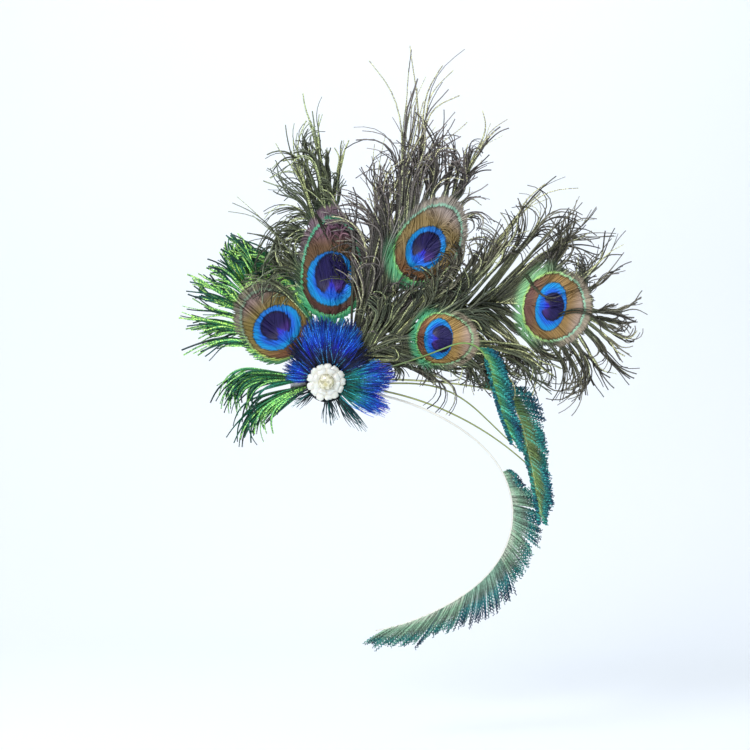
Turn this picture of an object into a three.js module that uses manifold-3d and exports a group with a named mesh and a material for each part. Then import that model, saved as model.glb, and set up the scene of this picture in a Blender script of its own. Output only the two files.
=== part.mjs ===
// A peacock feather hair clip: a spray of five eye feathers, three curved sword feathers and
// two bare stems that radiate from a small felt pad, a rosette of short plumes over the quill
// ends, a white flower button with a stone on top, and a flat spring clip on the back of the pad.
// Millimetres, +Z up. The spray faces -Y, and its longest feathers sweep to +X. The origin is
// the middle of the clip's back, straight behind the flower.

import * as THREE from "three";
import { mergeVertices } from "three/addons/utils/BufferGeometryUtils.js";
import Module from "manifold-3d";

const wasm = await Module();
wasm.setup();

// Gap that pieces keep where one rests on the other
const CLEAR = 0.3;

// Spring clip
const CLIP_LENGTH = 46;
const CLIP_WIDTH = 9;
const CLIP_METAL = 1.2;
const CLIP_JAW = 1.6;
const CLIP_FLARE = 2.2;

// Felt pad that carries the quills
const PAD_RADIUS = 13;
const PAD_THICK = 2;

// Longest of each kind: shaft of an eye feather and its herl, half width of the widest eye,
// shaft of a sword feather and its barb, herl of a green tuft, and plume. The rows of the
// tables below give their own lengths as shares of these.
const EYE_SHAFT = 172;
const EYE_HERL = 168;
const EYE_HALF = 20.8;
const SWORD_SHAFT = 280;
const SWORD_BARB = 78;
const TUFT_SHAFT = 16;
const TUFT_HERL = 62;
const PLUME_LENGTH = 38;

// Quills and vanes
const HUB_RADIUS = 6;
const QUILL = 1.35;
const LONG_QUILL = 1.6;
const QUILL_TIP = 0.8;
const EYE_THICK = 1.2;
const VANE_THICK = 0.8;
const LAP = 0.15;
const LOCK_WIDTH = 8;
const LOCK_COUNT = 12;
const LOCK_STEPS = 4;
const SHORT_BARB = 0.86;
const FIRST_LIFT = 10;
const FULL_LIFT = 24;
const FAN_OPENING = 0.02;

// The whole spray bows forwards at its top and backwards at its foot
const TOP_BOW = 16;
const TOP_REACH = 205;
const FOOT_BOW = 24;
const FOOT_REACH = 165;

// Flower button
const FLOWER_RADIUS = 12;
const FLOWER_PETALS = 13;
const PETAL_HEIGHT = 3.4;
const PETAL_RISE = 1.1;
const INNER_PETALS = 8;
const INNER_RADIUS = 9;
const STONE_RADIUS = 5.3;
const STONE_HEIGHT = 3.2;
const POST_RADIUS = 2.2;

// Eye feathers, back layer first. clock is where the quill starts on the hub, heading the way it
// runs, in degrees from +X. It turns by bend evenly, and by curl between the shares late and full.
// stem, eye and herl are shares of EYE_SHAFT, EYE_HALF and EYE_HERL, and notch is where the eye's
// notch lies on the shaft. The barbs go round the feather, from its left side over the tip to its
// right. Each leaves the shaft at the share from, at the angle leave, and has the share reach of
// the feather's herl.
const EYE_FEATHERS = [
  {
    name: "eye_feather_front", layer: 1, clock: 135, heading: 134, bend: -8,
    stem: 0.42, eye: 0.94, notch: 0.56, herl: 0.5,
    barbs: [
      { from: 0.26, leave: 30, reach: 0.9, bend: 14, curl: 20 },
      { from: 0.36, leave: 22, reach: 0.9, bend: 10, curl: 20 },
      { from: 0.48, leave: 12, reach: 0.8, bend: 6, curl: 6 },
      { from: 0.68, leave: 6, reach: 0.68, bend: 4, curl: 4 },
      { from: 1, leave: -4, reach: 0.4, bend: -4, curl: 0 },
      { from: 0.85, leave: -20, reach: 0.52, bend: 0, curl: 10 },
      { from: 0.65, leave: -30, reach: 0.8, bend: 10, curl: 50 },
      { from: 0.5, leave: -34, reach: 1, bend: 20, curl: 80 },
      { from: 0.38, leave: -38, reach: 1.1, bend: 18, curl: 96 },
      { from: 0.28, leave: -40, reach: 1.04, bend: 14, curl: 96 },
    ],
  },
  {
    name: "eye_feather_top", layer: 2, clock: 96, heading: 84, bend: 8,
    stem: 0.64, eye: 0.88, notch: 0.54, herl: 0.74,
    barbs: [
      { from: 0.2, leave: 28, reach: 0.88, bend: 20, curl: 90 },
      { from: 0.32, leave: 24, reach: 0.92, bend: 16, curl: 80 },
      { from: 0.45, leave: 20, reach: 1, bend: 6, curl: 110 },
      { from: 0.58, leave: 16, reach: 0.92, bend: -4, curl: 110 },
      { from: 0.7, leave: 18, reach: 0.88, bend: -4, curl: 12 },
      { from: 0.85, leave: 12, reach: 0.8, bend: -4, curl: 8 },
      { from: 1, leave: 2, reach: 0.3, bend: 4, curl: 20 },
      { from: 0.85, leave: -10, reach: 0.4, bend: 4, curl: 70 },
      { from: 0.65, leave: -18, reach: 0.46, bend: 8, curl: 60 },
      { from: 0.45, leave: -24, reach: 0.48, bend: 14, curl: 40 },
      { from: 0.28, leave: -24, reach: 0.42, bend: 10, curl: 10 },
    ],
  },
  {
    name: "eye_feather_crown", layer: 3, clock: 68, heading: 47, bend: 15,
    stem: 0.81, eye: 0.88, notch: 0.71, herl: 1,
    barbs: [
      { from: 0.16, leave: 34, reach: 0.74, bend: -6, curl: 70 },
      { from: 0.24, leave: 30, reach: 0.82, bend: -6, curl: 50 },
      { from: 0.34, leave: 32, reach: 1, bend: 0, curl: 4 },
      { from: 0.44, leave: 30, reach: 0.98, bend: 0, curl: 0 },
      { from: 0.56, leave: 25, reach: 0.9, bend: 0, curl: 0 },
      { from: 0.7, leave: 25, reach: 0.66, bend: 2, curl: 0 },
      { from: 0.85, leave: 20, reach: 0.46, bend: 0, curl: 10 },
      { from: 1, leave: 10, reach: 0.3, bend: 0, curl: 10 },
      { from: 0.88, leave: -2, reach: 0.44, bend: 4, curl: 0 },
      { from: 0.75, leave: -18, reach: 0.44, bend: 0, curl: 20 },
      { from: 0.6, leave: -26, reach: 0.4, bend: 4, curl: 20 },
      { from: 0.42, leave: -30, reach: 0.36, bend: 8, curl: 20 },
      { from: 0.26, leave: -34, reach: 0.32, bend: 10, curl: 10 },
    ],
  },
  {
    name: "eye_feather_back", layer: 4, clock: 50, heading: 46, bend: -66,
    stem: 1, eye: 1, notch: 0.87, herl: 0.62,
    barbs: [
      { from: 0.25, leave: 22, reach: 0.5, bend: -10, curl: -20 },
      { from: 0.38, leave: 28, reach: 0.7, bend: -6, curl: 0 },
      { from: 0.5, leave: 36, reach: 0.9, bend: 0, curl: 50 },
      { from: 0.62, leave: 40, reach: 1.08, bend: 0, curl: 10 },
      { from: 0.74, leave: 40, reach: 0.9, bend: 8, curl: 20 },
      { from: 0.87, leave: 10, reach: 0.84, bend: 10, curl: 120 },
      { from: 1, leave: 15, reach: 0.36, bend: 0, curl: 0 },
      { from: 0.95, leave: -18, reach: 0.66, bend: -20, curl: -30 },
      { from: 0.86, leave: -38, reach: 0.84, bend: -20, curl: -20 },
      { from: 0.74, leave: -42, reach: 1, bend: -20, curl: -20 },
      { from: 0.6, leave: -44, reach: 0.92, bend: -20, curl: -20 },
      { from: 0.46, leave: -44, reach: 0.8, bend: -16, curl: -20 },
      { from: 0.32, leave: -36, reach: 0.5, bend: -10, curl: -10 },
    ],
  },
  {
    name: "eye_feather_low", layer: 5, clock: 32, heading: 44, bend: -63,
    stem: 0.55, eye: 0.75, notch: 0.76, herl: 0.42,
    barbs: [
      { from: 0.26, leave: 26, reach: 0.6, bend: 0, curl: 0 },
      { from: 0.45, leave: 34, reach: 0.8, bend: -6, curl: 30 },
      { from: 0.65, leave: 38, reach: 0.85, bend: 0, curl: 30 },
      { from: 0.82, leave: 34, reach: 0.8, bend: -20, curl: -30 },
      { from: 1, leave: 10, reach: 0.9, bend: -30, curl: -50 },
      { from: 0.85, leave: -16, reach: 0.9, bend: -20, curl: -20 },
      { from: 0.68, leave: -30, reach: 0.8, bend: -10, curl: 0 },
      { from: 0.5, leave: -36, reach: 0.7, bend: 0, curl: 0 },
      { from: 0.32, leave: -40, reach: 0.5, bend: 0, curl: 0 },
    ],
  },
];

// Sword feathers. stem and barb are shares of SWORD_SHAFT and SWORD_BARB. Their barbs go along the
// shaft, outer on the outside of its curve and inner on the inside.
const SWORD_FEATHERS = [
  {
    name: "sword_feather_long", layer: 0, clock: -58,
    heading: 0, bend: -108, curl: -61, late: 0.3, full: 0.8,
    stem: 1, quill: LONG_QUILL, barb: 1, columns: 18,
    outer: [
      { from: 0.45, leave: 84, reach: 0.08, bend: -6 },
      { from: 0.51, leave: 78, reach: 0.24, bend: -10 },
      { from: 0.58, leave: 68, reach: 0.3, bend: -12 },
      { from: 0.67, leave: 60, reach: 0.32, bend: -10 },
      { from: 0.76, leave: 48, reach: 0.33, bend: -10 },
      { from: 0.86, leave: 36, reach: 0.38, bend: -8 },
      { from: 0.97, leave: 18, reach: 0.5, bend: 0 },
    ],
    inner: [],
  },
  {
    name: "sword_feather_middle", layer: 2, clock: 6,
    heading: 4, bend: -27, curl: -60, late: 0.46, full: 0.7,
    stem: 0.68, quill: QUILL, barb: 0.5, columns: 12,
    outer: [
      { from: 0.48, leave: 62, reach: 0.4, bend: -20 },
      { from: 0.6, leave: 56, reach: 0.52, bend: -26 },
      { from: 0.72, leave: 50, reach: 0.54, bend: -30 },
      { from: 0.86, leave: 44, reach: 0.5, bend: -26 },
      { from: 0.97, leave: 20, reach: 0.3, bend: -10 },
    ],
    inner: [
      { from: 0.66, leave: -30, reach: 0.14, bend: 10 },
      { from: 0.76, leave: -28, reach: 0.2, bend: 12 },
      { from: 0.88, leave: -22, reach: 0.24, bend: 12 },
      { from: 0.97, leave: -10, reach: 0.28, bend: 6 },
    ],
  },
  {
    name: "sword_feather_short", layer: 6, clock: 19,
    heading: 9, bend: 29, curl: -106, late: 0.46, full: 0.7,
    stem: 0.56, quill: QUILL, barb: 0.25, columns: 10,
    outer: [
      { from: 0.56, leave: 60, reach: 0.8, bend: -30 },
      { from: 0.7, leave: 60, reach: 1, bend: -40 },
      { from: 0.86, leave: 50, reach: 1, bend: -40 },
      { from: 0.97, leave: 24, reach: 0.8, bend: -20 },
    ],
    inner: [
      { from: 0.64, leave: -30, reach: 0.16, bend: 20 },
      { from: 0.8, leave: -28, reach: 0.2, bend: 20 },
      { from: 0.97, leave: -14, reach: 0.36, bend: 10 },
    ],
  },
];

// Bare stems: shafts stripped of their barbs, with stem a share of SWORD_SHAFT
const BARE_STEMS = [
  { name: "bare_stem_upper", layer: 1, clock: -8, heading: 0, curl: -44, late: 0.3, full: 0.8, stem: 0.46 },
  { name: "bare_stem_lower", layer: 1, clock: -21, heading: -2, bend: -44, stem: 0.52 },
];

// Short tufts of green herl below the front feather, with herl a share of TUFT_HERL
const GREEN_TUFTS = [
  {
    name: "green_tuft_upper", layer: 0, clock: 172, heading: 172, herl: 1,
    barbs: [
      { leave: -4, reach: 1, bend: 10, curl: 80 },
      { leave: 8, reach: 0.86, bend: 16, curl: 60 },
    ],
  },
  {
    name: "green_tuft_lower", layer: 0, clock: 194, heading: 190, herl: 0.9,
    barbs: [
      { leave: 0, reach: 0.9, bend: 20, curl: 50 },
      { leave: 10, reach: 0.94, bend: 26, curl: 36 },
      { leave: 18, reach: 0.7, bend: 10, curl: 10 },
    ],
  },
];

// Plumes of the rosette, with length a share of PLUME_LENGTH. Each lies in front of the feathers
// below it.
const PLUME_ROOT = 4;
const PLUME_SPREAD = 14;
const PLUME_BARBS = 4;
const PLUME_STEPS = 5;
const PLUMES = [
  { name: "blue_plume_1", hue: "blue", layer: 2, clock: 158, length: 0.63 },
  { name: "blue_plume_2", hue: "blue", layer: 3, clock: 128, length: 0.79 },
  { name: "blue_plume_3", hue: "blue", layer: 4, clock: 98, length: 0.95 },
  { name: "blue_plume_4", hue: "blue", layer: 6, clock: 68, length: 0.95 },
  { name: "blue_plume_5", hue: "blue", layer: 6, clock: 38, length: 0.79 },
  { name: "blue_plume_6", hue: "blue", layer: 6, clock: 6, length: 1 },
  { name: "blue_plume_7", hue: "blue", layer: 4, clock: -24, length: 1 },
  { name: "dark_plume_1", hue: "dark", layer: 2, clock: -52, length: 0.9 },
  { name: "dark_plume_2", hue: "dark", layer: 1, clock: -84, length: 0.63 },
  { name: "dark_plume_3", hue: "dark", layer: 1, clock: 214, length: 0.63 },
];

const HUE = {
  metal: { color: 0xb9bcc0, roughness: 0.3, metalness: 1 },
  felt: { color: 0x141518, roughness: 0.95, metalness: 0 },
  herl: { color: 0x5b5c3c, roughness: 0.55, metalness: 0.1 },
  sword: { color: 0x2f8f86, roughness: 0.45, metalness: 0.2 },
  stem: { color: 0xa8ad6b, roughness: 0.5, metalness: 0 },
  green: { color: 0x2f9a55, roughness: 0.4, metalness: 0.2 },
  blue: { color: 0x1550b8, roughness: 0.4, metalness: 0.2 },
  dark: { color: 0x12323c, roughness: 0.5, metalness: 0.1 },
  flower: { color: 0xf4f2e6, roughness: 0.25, metalness: 0 },
  stone: { color: 0xe9e6c8, roughness: 0.05, metalness: 0 },
};

const radians = THREE.MathUtils.degToRad;
const { lerp, smoothstep } = THREE.MathUtils;
const padFront = CLIP_METAL * 2 + CLIP_JAW + CLEAR + PAD_THICK;

// How far in front of the clip's back a layer of the spray has its own back, at (x, z). Every
// quill starts flat on the pad. Past FIRST_LIFT the layers part, and the fan opens outwards.
function depthAt(layer, x, z) {
  const r = Math.hypot(x, z);
  const parted = smoothstep(r, FIRST_LIFT, FULL_LIFT);
  const pitch = Math.max(QUILL, LAP + EYE_THICK) + CLEAR + FAN_OPENING * r;
  const top = TOP_BOW * (Math.max(0, z) / TOP_REACH) ** 2;
  const foot = FOOT_BOW * (Math.max(0, -z) / FOOT_REACH) ** 2;
  return padFront + CLEAR + parted * layer * pitch + top - foot;
}

// A line that leaves a point at a heading and turns by bend evenly, and by curl between the
// shares late and full of its length
function trace({ x, z, heading }, { length, bend = 0, curl = 0, late = 0.45, full = 1 }) {
  const FINE = 48;
  const line = [{ x, z, heading }];
  const turned = (t) => heading + bend * t + curl * smoothstep(t, late, full);
  for (let i = 0; i < FINE; i++) {
    const way = radians(turned((i + 0.5) / FINE));
    x += (Math.cos(way) * length) / FINE;
    z += (Math.sin(way) * length) / FINE;
    line.push({ x, z, heading: turned((i + 1) / FINE) });
  }
  return line;
}

// The row at a share of the way through a list of rows, mixed from the two it falls between
function between(rows, share) {
  const place = THREE.MathUtils.clamp(share, 0, 1) * (rows.length - 1);
  const i = Math.min(Math.floor(place), rows.length - 2);
  const keys = Object.keys(rows[i]);
  return Object.fromEntries(keys.map((key) => [key, lerp(rows[i][key], rows[i + 1][key], place - i)]));
}

// Moves a flat piece, drawn along X and across Y with its thickness in Z, to its place in a layer
function settle(geometry, layer, placeOf) {
  const at = geometry.getAttribute("position");
  for (let i = 0; i < at.count; i++) {
    const { x, z, lift } = placeOf(at.getX(i), at.getY(i), at.getZ(i));
    at.setXYZ(i, x, -depthAt(layer, x, z) - lift, z);
  }
  return solidFrom(geometry);
}

function solidFrom(geometry) {
  const bare = geometry.clone();
  bare.deleteAttribute("normal");
  bare.deleteAttribute("uv");
  const closed = mergeVertices(bare, 1e-4);
  return new wasm.Manifold(
    new wasm.Mesh({
      numProp: 3,
      vertProperties: new Float32Array(closed.getAttribute("position").array),
      triVerts: new Uint32Array(closed.index.array),
    }),
  );
}

function meshFrom(name, hue, solids) {
  const joined = solids.reduce((whole, piece) => whole.add(piece)).getMesh();
  const geometry = new THREE.BufferGeometry();
  geometry.setAttribute("position", new THREE.BufferAttribute(joined.vertProperties, 3));
  geometry.setIndex(new THREE.BufferAttribute(joined.triVerts, 1));
  const faceted = geometry.toNonIndexed();
  faceted.computeVertexNormals();
  const mesh = new THREE.Mesh(faceted, new THREE.MeshStandardMaterial(HUE[hue]));
  mesh.name = name;
  return mesh;
}

// Bends a straight bar, one unit long, wide and thick, to a line, with its back on the layer
function follow(bar, line, layer, widthAt, thickAt, lift = 0) {
  return settle(bar, layer, (u, v, w) => {
    const t = u + 0.5;
    const here = between(line, t);
    const way = radians(here.heading);
    const aside = v * widthAt(t);
    return {
      x: here.x - Math.sin(way) * aside,
      z: here.z + Math.cos(way) * aside,
      lift: lift + (w + 0.5) * thickAt(t),
    };
  });
}

// A shaft has shorter steps near its root, where its layer leaves the pad
function shaft(line, layer, root, steps) {
  const CROWDING = 1.5;
  const bar = new THREE.CylinderGeometry(0.5, 0.5, 1, 5, steps).rotateZ(-Math.PI / 2);
  const at = bar.getAttribute("position");
  for (let i = 0; i < at.count; i++) {
    at.setX(i, (at.getX(i) + 0.5) ** CROWDING - 0.5);
  }
  const taper = (t) => lerp(root, QUILL_TIP, t);
  return follow(bar, line, layer, taper, taper);
}

// A lock of barbs: narrow at the shaft, widest a little before its middle, pointed at the tip
function lock(line, layer, width, lift) {
  const POINT = 0.12;
  const bar = new THREE.BoxGeometry(1, 1, 1, LOCK_STEPS, 1, 1);
  const swell = (t) => width * (POINT + (1 - POINT) * Math.sin(Math.PI * t ** 0.8));
  const thin = (t) => VANE_THICK * (1 - 0.4 * t);
  return follow(bar, line, layer, swell, thin, lift);
}

function hubPoint(clock, heading, radius = HUB_RADIUS) {
  return { x: radius * Math.cos(radians(clock)), z: radius * Math.sin(radians(clock)), heading };
}

function shaftLine(feather, longest) {
  return trace(hubPoint(feather.clock, feather.heading), { ...feather, length: feather.stem * longest });
}

// The line of one barb, from a row of the feather's barbs
function barbLine(line, { from, leave, reach, bend, curl = 0 }, longest) {
  const start = between(line, from);
  return trace({ ...start, heading: start.heading + leave }, { length: reach * longest, bend, curl });
}

// The eye: an egg, blunt towards the quill, with its middle at the notch of the eye
function eyeVane(line, feather) {
  const BACK = 0.8;
  const FRONT = 1.6;
  const notch = between(line, feather.notch);
  const half = feather.eye * EYE_HALF;
  const egg = new THREE.Shape();
  egg.absellipse(0, 0, BACK * half, half, Math.PI / 2, Math.PI * 1.5);
  egg.absellipse(0, 0, FRONT * half, half, -Math.PI / 2, Math.PI / 2);
  const plate = new THREE.ExtrudeGeometry(egg, { depth: EYE_THICK, bevelEnabled: false, curveSegments: 7 });
  const way = radians(notch.heading);
  return settle(plate, feather.layer, (u, v, w) => ({
    x: notch.x + u * Math.cos(way) - v * Math.sin(way),
    z: notch.z + u * Math.sin(way) + v * Math.cos(way),
    lift: LAP + w,
  }));
}

function eyeFeather(feather) {
  const line = shaftLine(feather, EYE_SHAFT);
  const locks = Array.from({ length: LOCK_COUNT }, (_, i) => {
    const barb = between(feather.barbs, i / (LOCK_COUNT - 1));
    const lift = LAP * (2 + (i % 2));
    const path = barbLine(line, barb, feather.herl * EYE_HERL);
    return lock(path, feather.layer, LOCK_WIDTH, lift);
  });
  return meshFrom(feather.name, "herl", [
    shaft(line, feather.layer, QUILL, 11),
    eyeVane(line, feather),
    ...locks,
  ]);
}

// A thin sheet whose columns follow lines that lie side by side, the leftmost first
function sheet(columns, layer, rows, lift) {
  const spaces = columns.length - 1;
  const bar = new THREE.BoxGeometry(1, 1, 1, rows, spaces, 1);
  return settle(bar, layer, (u, v, w) => {
    const { x, z } = between(columns[Math.round((0.5 - v) * spaces)], u + 0.5);
    return { x, z, lift: lift + (w + 0.5) * VANE_THICK };
  });
}

// A vane whose barbs lie edge to edge, with every second barb a little shorter than the last
function vane(line, feather, barbs, lift) {
  const ROWS = 3;
  const columns = Array.from({ length: feather.columns + 1 }, (_, i) => {
    const barb = between(barbs, i / feather.columns);
    return barbLine(line, barb, feather.barb * SWORD_BARB * (i % 2 ? SHORT_BARB : 1));
  });
  const toLeft = barbs[0].leave > 0;
  return sheet(toLeft ? columns : columns.reverse(), feather.layer, ROWS, lift);
}

function swordFeather(feather) {
  const line = shaftLine(feather, SWORD_SHAFT);
  const sides = [feather.outer, feather.inner].filter((barbs) => barbs.length > 0);
  return meshFrom(feather.name, "sword", [
    shaft(line, feather.layer, feather.quill, 16),
    ...sides.map((barbs, i) => vane(line, feather, barbs, LAP * (i + 1))),
  ]);
}

function bareStem(stem) {
  return meshFrom(stem.name, "stem", [shaft(shaftLine(stem, SWORD_SHAFT), stem.layer, QUILL, 12)]);
}

function greenTuft(tuft) {
  const line = trace(hubPoint(tuft.clock, tuft.heading), { length: TUFT_SHAFT });
  const herl = tuft.barbs.map((barb, i) => {
    const path = barbLine(line, { from: 0.8, ...barb }, tuft.herl * TUFT_HERL);
    return lock(path, tuft.layer, LOCK_WIDTH, LAP * i);
  });
  return meshFrom(tuft.name, "green", [shaft(line, tuft.layer, QUILL, 3), ...herl]);
}

// A short plume: barbs that spread from one root in front of the quills, longest in the middle
function plume({ name, hue, layer, clock, length }) {
  const SPLAY = 1.6;
  const SIDE_SHARE = 0.6;
  const barbs = Array.from({ length: PLUME_BARBS + 1 }, (_, i) => {
    const aside = 0.5 - i / PLUME_BARBS;
    const start = hubPoint(clock + aside * PLUME_SPREAD, clock + aside * PLUME_SPREAD * SPLAY, PLUME_ROOT);
    const share = lerp(1, SIDE_SHARE, Math.abs(aside) * 2) * (i % 2 ? SHORT_BARB : 1);
    return trace(start, { length: length * PLUME_LENGTH * share });
  });
  return meshFrom(name, hue, [sheet(barbs, layer, PLUME_STEPS, LONG_QUILL + CLEAR)]);
}

// A flat strip of spring metal bent into a U, with its jaws flared at the mouth
function springClip() {
  const half = CLIP_LENGTH / 2;
  const thick = CLIP_METAL;
  const bend = CLIP_JAW / 2 + thick;
  const side = new THREE.Shape();
  side.moveTo(-half, 0);
  side.lineTo(half - bend, 0);
  side.absarc(half - bend, -bend, bend, Math.PI / 2, -Math.PI / 2, true);
  side.lineTo(-half + CLIP_FLARE, -2 * bend);
  side.lineTo(-half, -2 * bend - CLIP_FLARE / 2);
  side.lineTo(-half, -2 * bend - CLIP_FLARE / 2 + thick);
  side.lineTo(-half + CLIP_FLARE, -2 * bend + thick);
  side.lineTo(half - bend, -2 * bend + thick);
  side.absarc(half - bend, -bend, bend - thick, -Math.PI / 2, Math.PI / 2, false);
  side.lineTo(-half, -thick);
  const strip = new THREE.ExtrudeGeometry(side, { depth: CLIP_WIDTH, bevelEnabled: false, curveSegments: 6 });
  return meshFrom("spring_clip", "metal", [solidFrom(strip.translate(0, 0, -CLIP_WIDTH / 2))]);
}

function feltPad() {
  const disc = new THREE.CylinderGeometry(PAD_RADIUS, PAD_RADIUS, PAD_THICK, 28);
  disc.translate(0, -padFront + PAD_THICK / 2, 0);
  return meshFrom("felt_pad", "felt", [solidFrom(disc)]);
}

const plumeFront = depthAt(0, 0, 0) + LONG_QUILL + CLEAR + VANE_THICK;
const flowerBack = plumeFront + CLEAR;
const cupHeight = PETAL_HEIGHT + PETAL_RISE;

// A ring of rounded petals that grow out of the cup, to a radius
function petalRing(count, radius, middle, turn) {
  const inside = STONE_RADIUS * 0.75;
  const across = (Math.PI * (radius + inside)) / 2 / count;
  return Array.from({ length: count }, (_, i) => {
    const petal = new THREE.SphereGeometry(1, 6, 3).rotateX(Math.PI / 2);
    petal.scale((radius - inside) / 2, PETAL_HEIGHT / 2, across * 0.96);
    petal.translate((radius + inside) / 2, -middle, 0);
    return solidFrom(petal.rotateY((2 * Math.PI * (i + turn)) / count));
  });
}

// Petals in two tiers round a cup, on a post that goes through the quills down to the pad
function flower() {
  const reach = flowerBack - padFront - CLEAR;
  const post = new THREE.CylinderGeometry(POST_RADIUS, POST_RADIUS, reach + PETAL_HEIGHT / 2, 12);
  post.translate(0, -padFront - CLEAR - (reach + PETAL_HEIGHT / 2) / 2, 0);
  const cup = new THREE.CylinderGeometry(STONE_RADIUS, STONE_RADIUS, cupHeight, 16);
  cup.translate(0, -flowerBack - cupHeight / 2, 0);
  const outer = flowerBack + PETAL_HEIGHT / 2;
  return meshFrom("flower_button", "flower", [
    solidFrom(post),
    solidFrom(cup),
    ...petalRing(FLOWER_PETALS, FLOWER_RADIUS, outer, 0),
    ...petalRing(INNER_PETALS, INNER_RADIUS, outer + PETAL_RISE, 0.5),
  ]);
}

// A round stone with a flat table, eight crown facets and eight girdle facets
function stone() {
  const back = flowerBack + cupHeight + CLEAR;
  const profile = [
    [0, 0],
    [0.9, 0],
    [1, 0.3],
    [0.86, 0.62],
    [0.5, 1],
    [0, 1],
  ].map(([r, h]) => new THREE.Vector2(r * STONE_RADIUS, h * STONE_HEIGHT));
  const cut = new THREE.LatheGeometry(profile, 16).rotateX(Math.PI).translate(0, -back, 0);
  return meshFrom("centre_stone", "stone", [solidFrom(cut)]);
}

const clip = new THREE.Group();
clip.add(springClip(), feltPad());
clip.add(...EYE_FEATHERS.map(eyeFeather));
clip.add(...SWORD_FEATHERS.map(swordFeather));
clip.add(...BARE_STEMS.map(bareStem));
clip.add(...GREEN_TUFTS.map(greenTuft));
clip.add(...PLUMES.map(plume));
clip.add(flower(), stone());

export default clip;
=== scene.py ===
import math

import bpy
import numpy as np
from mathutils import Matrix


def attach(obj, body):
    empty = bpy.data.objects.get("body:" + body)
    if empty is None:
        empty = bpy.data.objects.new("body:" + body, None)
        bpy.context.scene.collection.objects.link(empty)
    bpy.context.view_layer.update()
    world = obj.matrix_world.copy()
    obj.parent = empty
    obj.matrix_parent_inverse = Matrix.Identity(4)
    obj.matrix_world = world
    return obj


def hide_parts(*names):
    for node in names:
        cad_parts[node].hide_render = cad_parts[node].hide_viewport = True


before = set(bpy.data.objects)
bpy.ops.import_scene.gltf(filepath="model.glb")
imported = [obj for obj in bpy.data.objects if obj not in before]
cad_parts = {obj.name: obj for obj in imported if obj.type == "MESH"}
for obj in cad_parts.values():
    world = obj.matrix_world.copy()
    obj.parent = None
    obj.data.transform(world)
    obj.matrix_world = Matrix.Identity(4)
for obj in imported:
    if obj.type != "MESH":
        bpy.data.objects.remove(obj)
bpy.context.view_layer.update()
bpy.ops.object.select_all(action="DESELECT")

# Spring clip: one strip of sprung steel folded into a U, with its jaws flared at the mouth. It lies
# flat behind the pad and grips the hair. The sheared edges are tumbled round, and the flat faces
# keep the fine lines of the rolling.
MM = 0.001


def tint(code):
    """A colour given as red, green and blue in two hex figures each, turned to linear light"""
    parts = [int(code[i : i + 2], 16) / 255 for i in (1, 3, 5)]
    return tuple(p / 12.92 if p <= 0.04045 else ((p + 0.055) / 1.055) ** 2.4 for p in parts) + (1,)


def feed(tree, socket, value):
    """Links a socket to another socket, or sets its value"""
    if isinstance(value, bpy.types.NodeSocket):
        tree.links.new(value, socket)
    else:
        socket.default_value = value


def node(tree, kind, inputs=None, **settings):
    """A node with its settings made and its inputs fed"""
    made = tree.nodes.new("ShaderNode" + kind)
    for key, value in settings.items():
        setattr(made, key, value)
    for key, value in (inputs or {}).items():
        feed(tree, made.inputs[key], value)
    return made


def maths(tree, operation, first, second=0.0):
    return node(tree, "Math", {0: first, 1: second}, operation=operation).outputs[0]


def mixed(tree, factor, first, second, blend_type="MIX"):
    """Two colours mixed by a factor"""
    inputs = {0: factor, 6: first, 7: second}
    return node(tree, "Mix", inputs, data_type="RGBA", blend_type=blend_type).outputs[2]


def ranged(tree, value, low, high, to_low=0.0, to_high=1.0, smooth=True):
    """A value carried from one range to another, and held at its ends"""
    inputs = {"Value": value, "From Min": low, "From Max": high, "To Min": to_low, "To Max": to_high}
    kind = "SMOOTHSTEP" if smooth else "LINEAR"
    return node(tree, "MapRange", inputs, interpolation_type=kind).outputs[0]


def finish(name, **sockets):
    """A material with a Principled shader, its even values set, and its node tree"""
    material = bpy.data.materials.new(name)
    material.use_nodes = True
    shader = material.node_tree.nodes["Principled BSDF"]
    for key, value in sockets.items():
        shader.inputs[key.replace("_", " ")].default_value = value
    return material, material.node_tree, shader


def bumped(tree, shader, height, distance, strength=1.0):
    """Raises a shader's surface by a height pattern"""
    inputs = {"Height": height, "Distance": distance, "Strength": strength}
    feed(tree, shader.inputs["Normal"], node(tree, "Bump", inputs).outputs[0])


def carried(node_name, piece_name):
    """A copy of a CAD node's mesh, merged into one skin, as a new piece at the origin"""
    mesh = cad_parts[node_name].data.copy()
    mesh.materials.clear()
    piece = bpy.data.objects.new(piece_name, mesh)
    bpy.context.scene.collection.objects.link(piece)
    bpy.context.view_layer.objects.active = piece
    piece.select_set(True)
    bpy.ops.object.mode_set(mode="EDIT")
    bpy.ops.mesh.select_all(action="SELECT")
    bpy.ops.mesh.remove_doubles(threshold=0.01 * MM)
    bpy.ops.mesh.dissolve_limited(angle_limit=math.radians(1))
    bpy.ops.object.mode_set(mode="OBJECT")
    return piece


def hand_over(piece, slot, *nodes):
    """Lets go of a finished piece: it rides on the root and stands for its nodes. slot is not used"""
    piece.select_set(False)
    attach(piece, "root")
    if nodes:
        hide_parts(*nodes)


CLIP_EDGE = 0.35 * MM
clip = carried("spring_clip", "spring_clip_strip")
rounding = clip.modifiers.new("tumbled edges", "BEVEL")
rounding.width = CLIP_EDGE
rounding.segments = 3
rounding.limit_method = "ANGLE"
rounding.angle_limit = math.radians(40)
bpy.ops.object.modifier_apply(modifier=rounding.name)
bpy.ops.object.shade_smooth_by_angle(angle=math.radians(35))

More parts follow.
